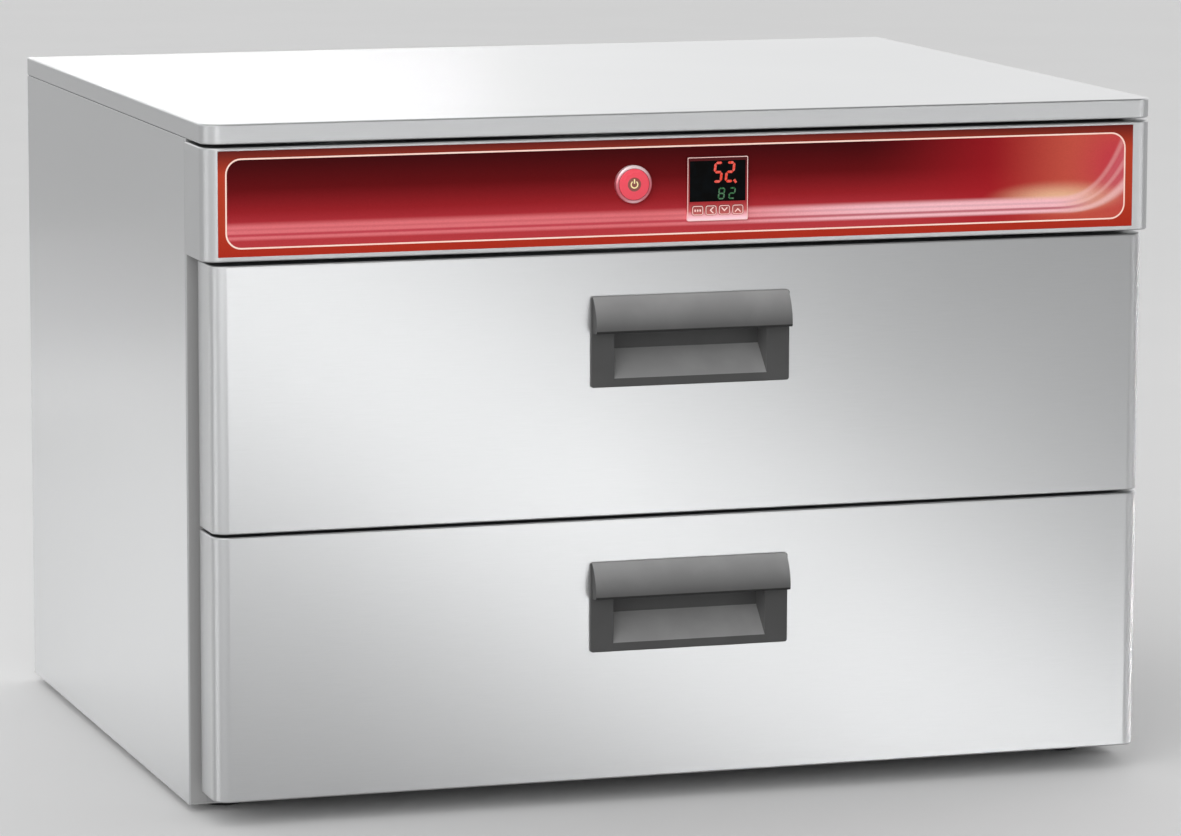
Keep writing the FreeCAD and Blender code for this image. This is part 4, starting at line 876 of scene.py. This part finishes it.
# Broad glows in the studio's even light: direction and strength, full within 25 degrees and gone at 60.
EVEN_GLOW = 0.3
GLOWS = (((-0.6, -0.75, 0.0), 1.7), ((-0.6, 0.75, 0.1), 0.9), ((0.7, 0.7, 0.2), 0.94))
GLOW_FULL = math.cos(math.radians(25))
GLOW_GONE = math.cos(math.radians(60))

# How far the camera's view, once the fronts mirror it, leads across and down for each metre before them.
MIRROR_ACROSS = 0.3214
MIRROR_DOWN = 0.1576
# The bright band on the fronts: its middle in X and Z, its slope, and the strip lamp that they mirror there.
BAND_MIDDLE = Vector((-0.045, 0.19))
BAND_SLOPE = -35
STRIP_DISTANCE = 1.3
STRIP_SIZE = (2.4, 0.3)

# Panels that keep the rounded upright edges bright: place, power on the drawers and on the fascia.
EDGE_PANEL_SIZE = (1.4, 1.4)
EDGE_PANELS = {
    "left_panel": ((-2.8, -0.4, 0.0), 3.9, 3.3),
    "rear_left_panel": ((-1.6, 1.8, -0.1), 2.0, 0),
    "right_panel": ((2.4, -1.6, 0.0), 2.2, 5.4),
    "rear_right_panel": ((2.6, 0.8, 0.0), 4.2, 0),
}
# Where they aim: half the width between the edges, and the height.
EDGE_X = 0.37
EDGE_Z = 0.22

# Low panels that carry the fronts' own tone round their bends: side, degrees outwards, height, width, power.
BEND_LIGHTS = {
    "left": (-1, 32, 0.3, 1.05, 0.85),
    "right": (1, 98, -0.3, 1.1, 1.3),
}
BEND_X = 0.36
BEND_LIGHT_DISTANCE = 1.3
BEND_LIGHT_HEIGHT = 0.4

# Names of the fascia's controls start with these.
CONTROLS = ("control_overlay", "film_", "controller_", "display_", "mode_key", "shift_key", "down_key",
            "up_key", "power_", "button_", "standby_")


def studio_world():
    """Soft light from all round, with broad brighter areas."""
    world = bpy.data.worlds.new("studio")
    world.use_nodes = True
    tree = world.node_tree
    background = tree.nodes["Background"]
    background.inputs["Color"].default_value = grey(255)
    toward = tree.nodes.new("ShaderNodeTexCoord").outputs["Generated"]
    total = EVEN_GLOW
    for direction, strength in GLOWS:
        along = tree.nodes.new("ShaderNodeVectorMath")
        along.operation = "DOT_PRODUCT"
        tree.links.new(toward, along.inputs[0])
        along.inputs[1].default_value = Vector(direction).normalized()
        glow = tree.nodes.new("ShaderNodeMapRange")
        glow.interpolation_type = "SMOOTHSTEP"
        tree.links.new(along.outputs["Value"], glow.inputs["Value"])
        for socket, number in zip(list(glow.inputs)[1:], (GLOW_GONE, GLOW_FULL, 0.0, strength)):
            socket.default_value = number
        added = tree.nodes.new("ShaderNodeMath")
        tree.links.new(glow.outputs["Result"], added.inputs[0])
        feed(tree, added.inputs[1], total)
        total = added.outputs[0]
    tree.links.new(total, background.inputs["Strength"])
    bpy.context.scene.world = world


def gathered(name, pieces):
    """A collection of pieces for a light to act on."""
    group = bpy.data.collections.new(name)
    for piece in pieces:
        group.objects.link(piece)
    return group


def softbox(name, place, aim, size, power, tilt=0.0, only=()):
    """A soft panel light aimed at a point. With pieces given, it lights those alone, and only the part
    itself can shade them."""
    light = bpy.data.lights.new(name, "AREA")
    light.shape = "RECTANGLE"
    light.size, light.size_y = size
    light.energy = power
    lamp = bpy.data.objects.new(name, light)
    bpy.context.scene.collection.objects.link(lamp)
    place, aim = Vector(place), Vector(aim)
    turn = (aim - place).to_track_quat("-Z", "Y").to_matrix().to_4x4()
    lamp.matrix_world = Matrix.Translation(place) @ turn @ Matrix.Rotation(math.radians(tilt), 4, "Z")
    lamp.visible_camera = False
    if only:
        lamp.light_linking.receiver_collection = gathered(f"{name}_receivers", only)
        lamp.light_linking.blocker_collection = gathered(f"{name}_blockers", nodes.values())
        light.cycles.use_multiple_importance_sampling = False


def band_light(fronts, front_y):
    """The strip lamp that makes the drawers' bright band."""
    strip = Vector((BAND_MIDDLE.x + MIRROR_ACROSS * STRIP_DISTANCE, front_y - STRIP_DISTANCE,
                    BAND_MIDDLE.y - MIRROR_DOWN * STRIP_DISTANCE))
    softbox("front_strip", strip, aim=(strip.x, 0, strip.z), size=STRIP_SIZE, power=4.5, tilt=BAND_SLOPE,
            only=fronts)


def cabinet_lights(top, fascia, side):
    """Panels that the fascia, the top and the left side mirror."""
    softbox("front_panel", (0.4, -2.6, 0.6), aim=(0.2, 0, 0.45), size=(4.0, 1.6), power=12,
            only=[top, fascia])
    softbox("top_panel_light", (-0.1, 1.8, 1.3), aim=(-0.1, 0, 0.52), size=(1.2, 1.0), power=2.5, only=[top])
    softbox("side_panel_light", (-1.15, 1.8, -0.2), aim=(-0.375, 0, 0.15), size=(0.8, 0.5), power=0.9,
            only=[side])
    softbox("side_edge_light", (-0.55, 0.85, 0.225), aim=(-0.375, 0.28, 0.31), size=(0.2, 0.17), power=0.018,
            only=[side])


def edge_lights(fronts, cabinet, front_y):
    """Panels that keep the upright edges bright, on the drawers and on the fascia apart."""
    for name, (place, drawer_power, fascia_power) in EDGE_PANELS.items():
        edge = (math.copysign(EDGE_X, place[0]), front_y, EDGE_Z)
        for word, power, pieces in (("drawers", drawer_power, fronts), ("fascia", fascia_power, cabinet)):
            if power:
                softbox(f"{name}_on_{word}", place, edge, EDGE_PANEL_SIZE, power, only=pieces)
    for name, (side, turn, height, width, power) in BEND_LIGHTS.items():
        edge = Vector((side * BEND_X, front_y, height))
        angle = math.radians(turn)
        place = edge + BEND_LIGHT_DISTANCE * Vector((side * math.sin(angle), -math.cos(angle), 0))
        softbox(f"bend_light_{name}", place, edge, (width, BEND_LIGHT_HEIGHT), power, only=fronts)


def studio_light():
    """All the studio's light. Faces that mirror a panel have one of their own."""
    studio_world()
    bpy.context.scene.view_settings.view_transform = "Standard"
    softbox("ceiling_panel", (-0.6, -0.4, 3.0), aim=(0, 0, 0.4), size=(3.0, 3.0), power=18)
    fronts = [nodes[f"{drawer}_drawer_front"] for drawer in DRAWERS]
    front_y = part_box("upper_drawer_front")[0].y
    top, fascia = nodes["top_panel"], nodes["control_fascia"]
    band_light(fronts, front_y)
    cabinet_lights(top, fascia, nodes["left_side_panel"])
    edge_lights(fronts, [top, fascia], front_y)
    controls = [piece for piece in bpy.context.scene.objects if piece.name.startswith(CONTROLS)]
    softbox("control_panel", (-0.8, -2.6, 2.2), aim=(0, 0, 0.46), size=(1.6, 1.6), power=24, only=controls)


photograph_camera()
dress_nodes()
film_line()
controller_marks()
power_marks()
studio_floor()
studio_light()
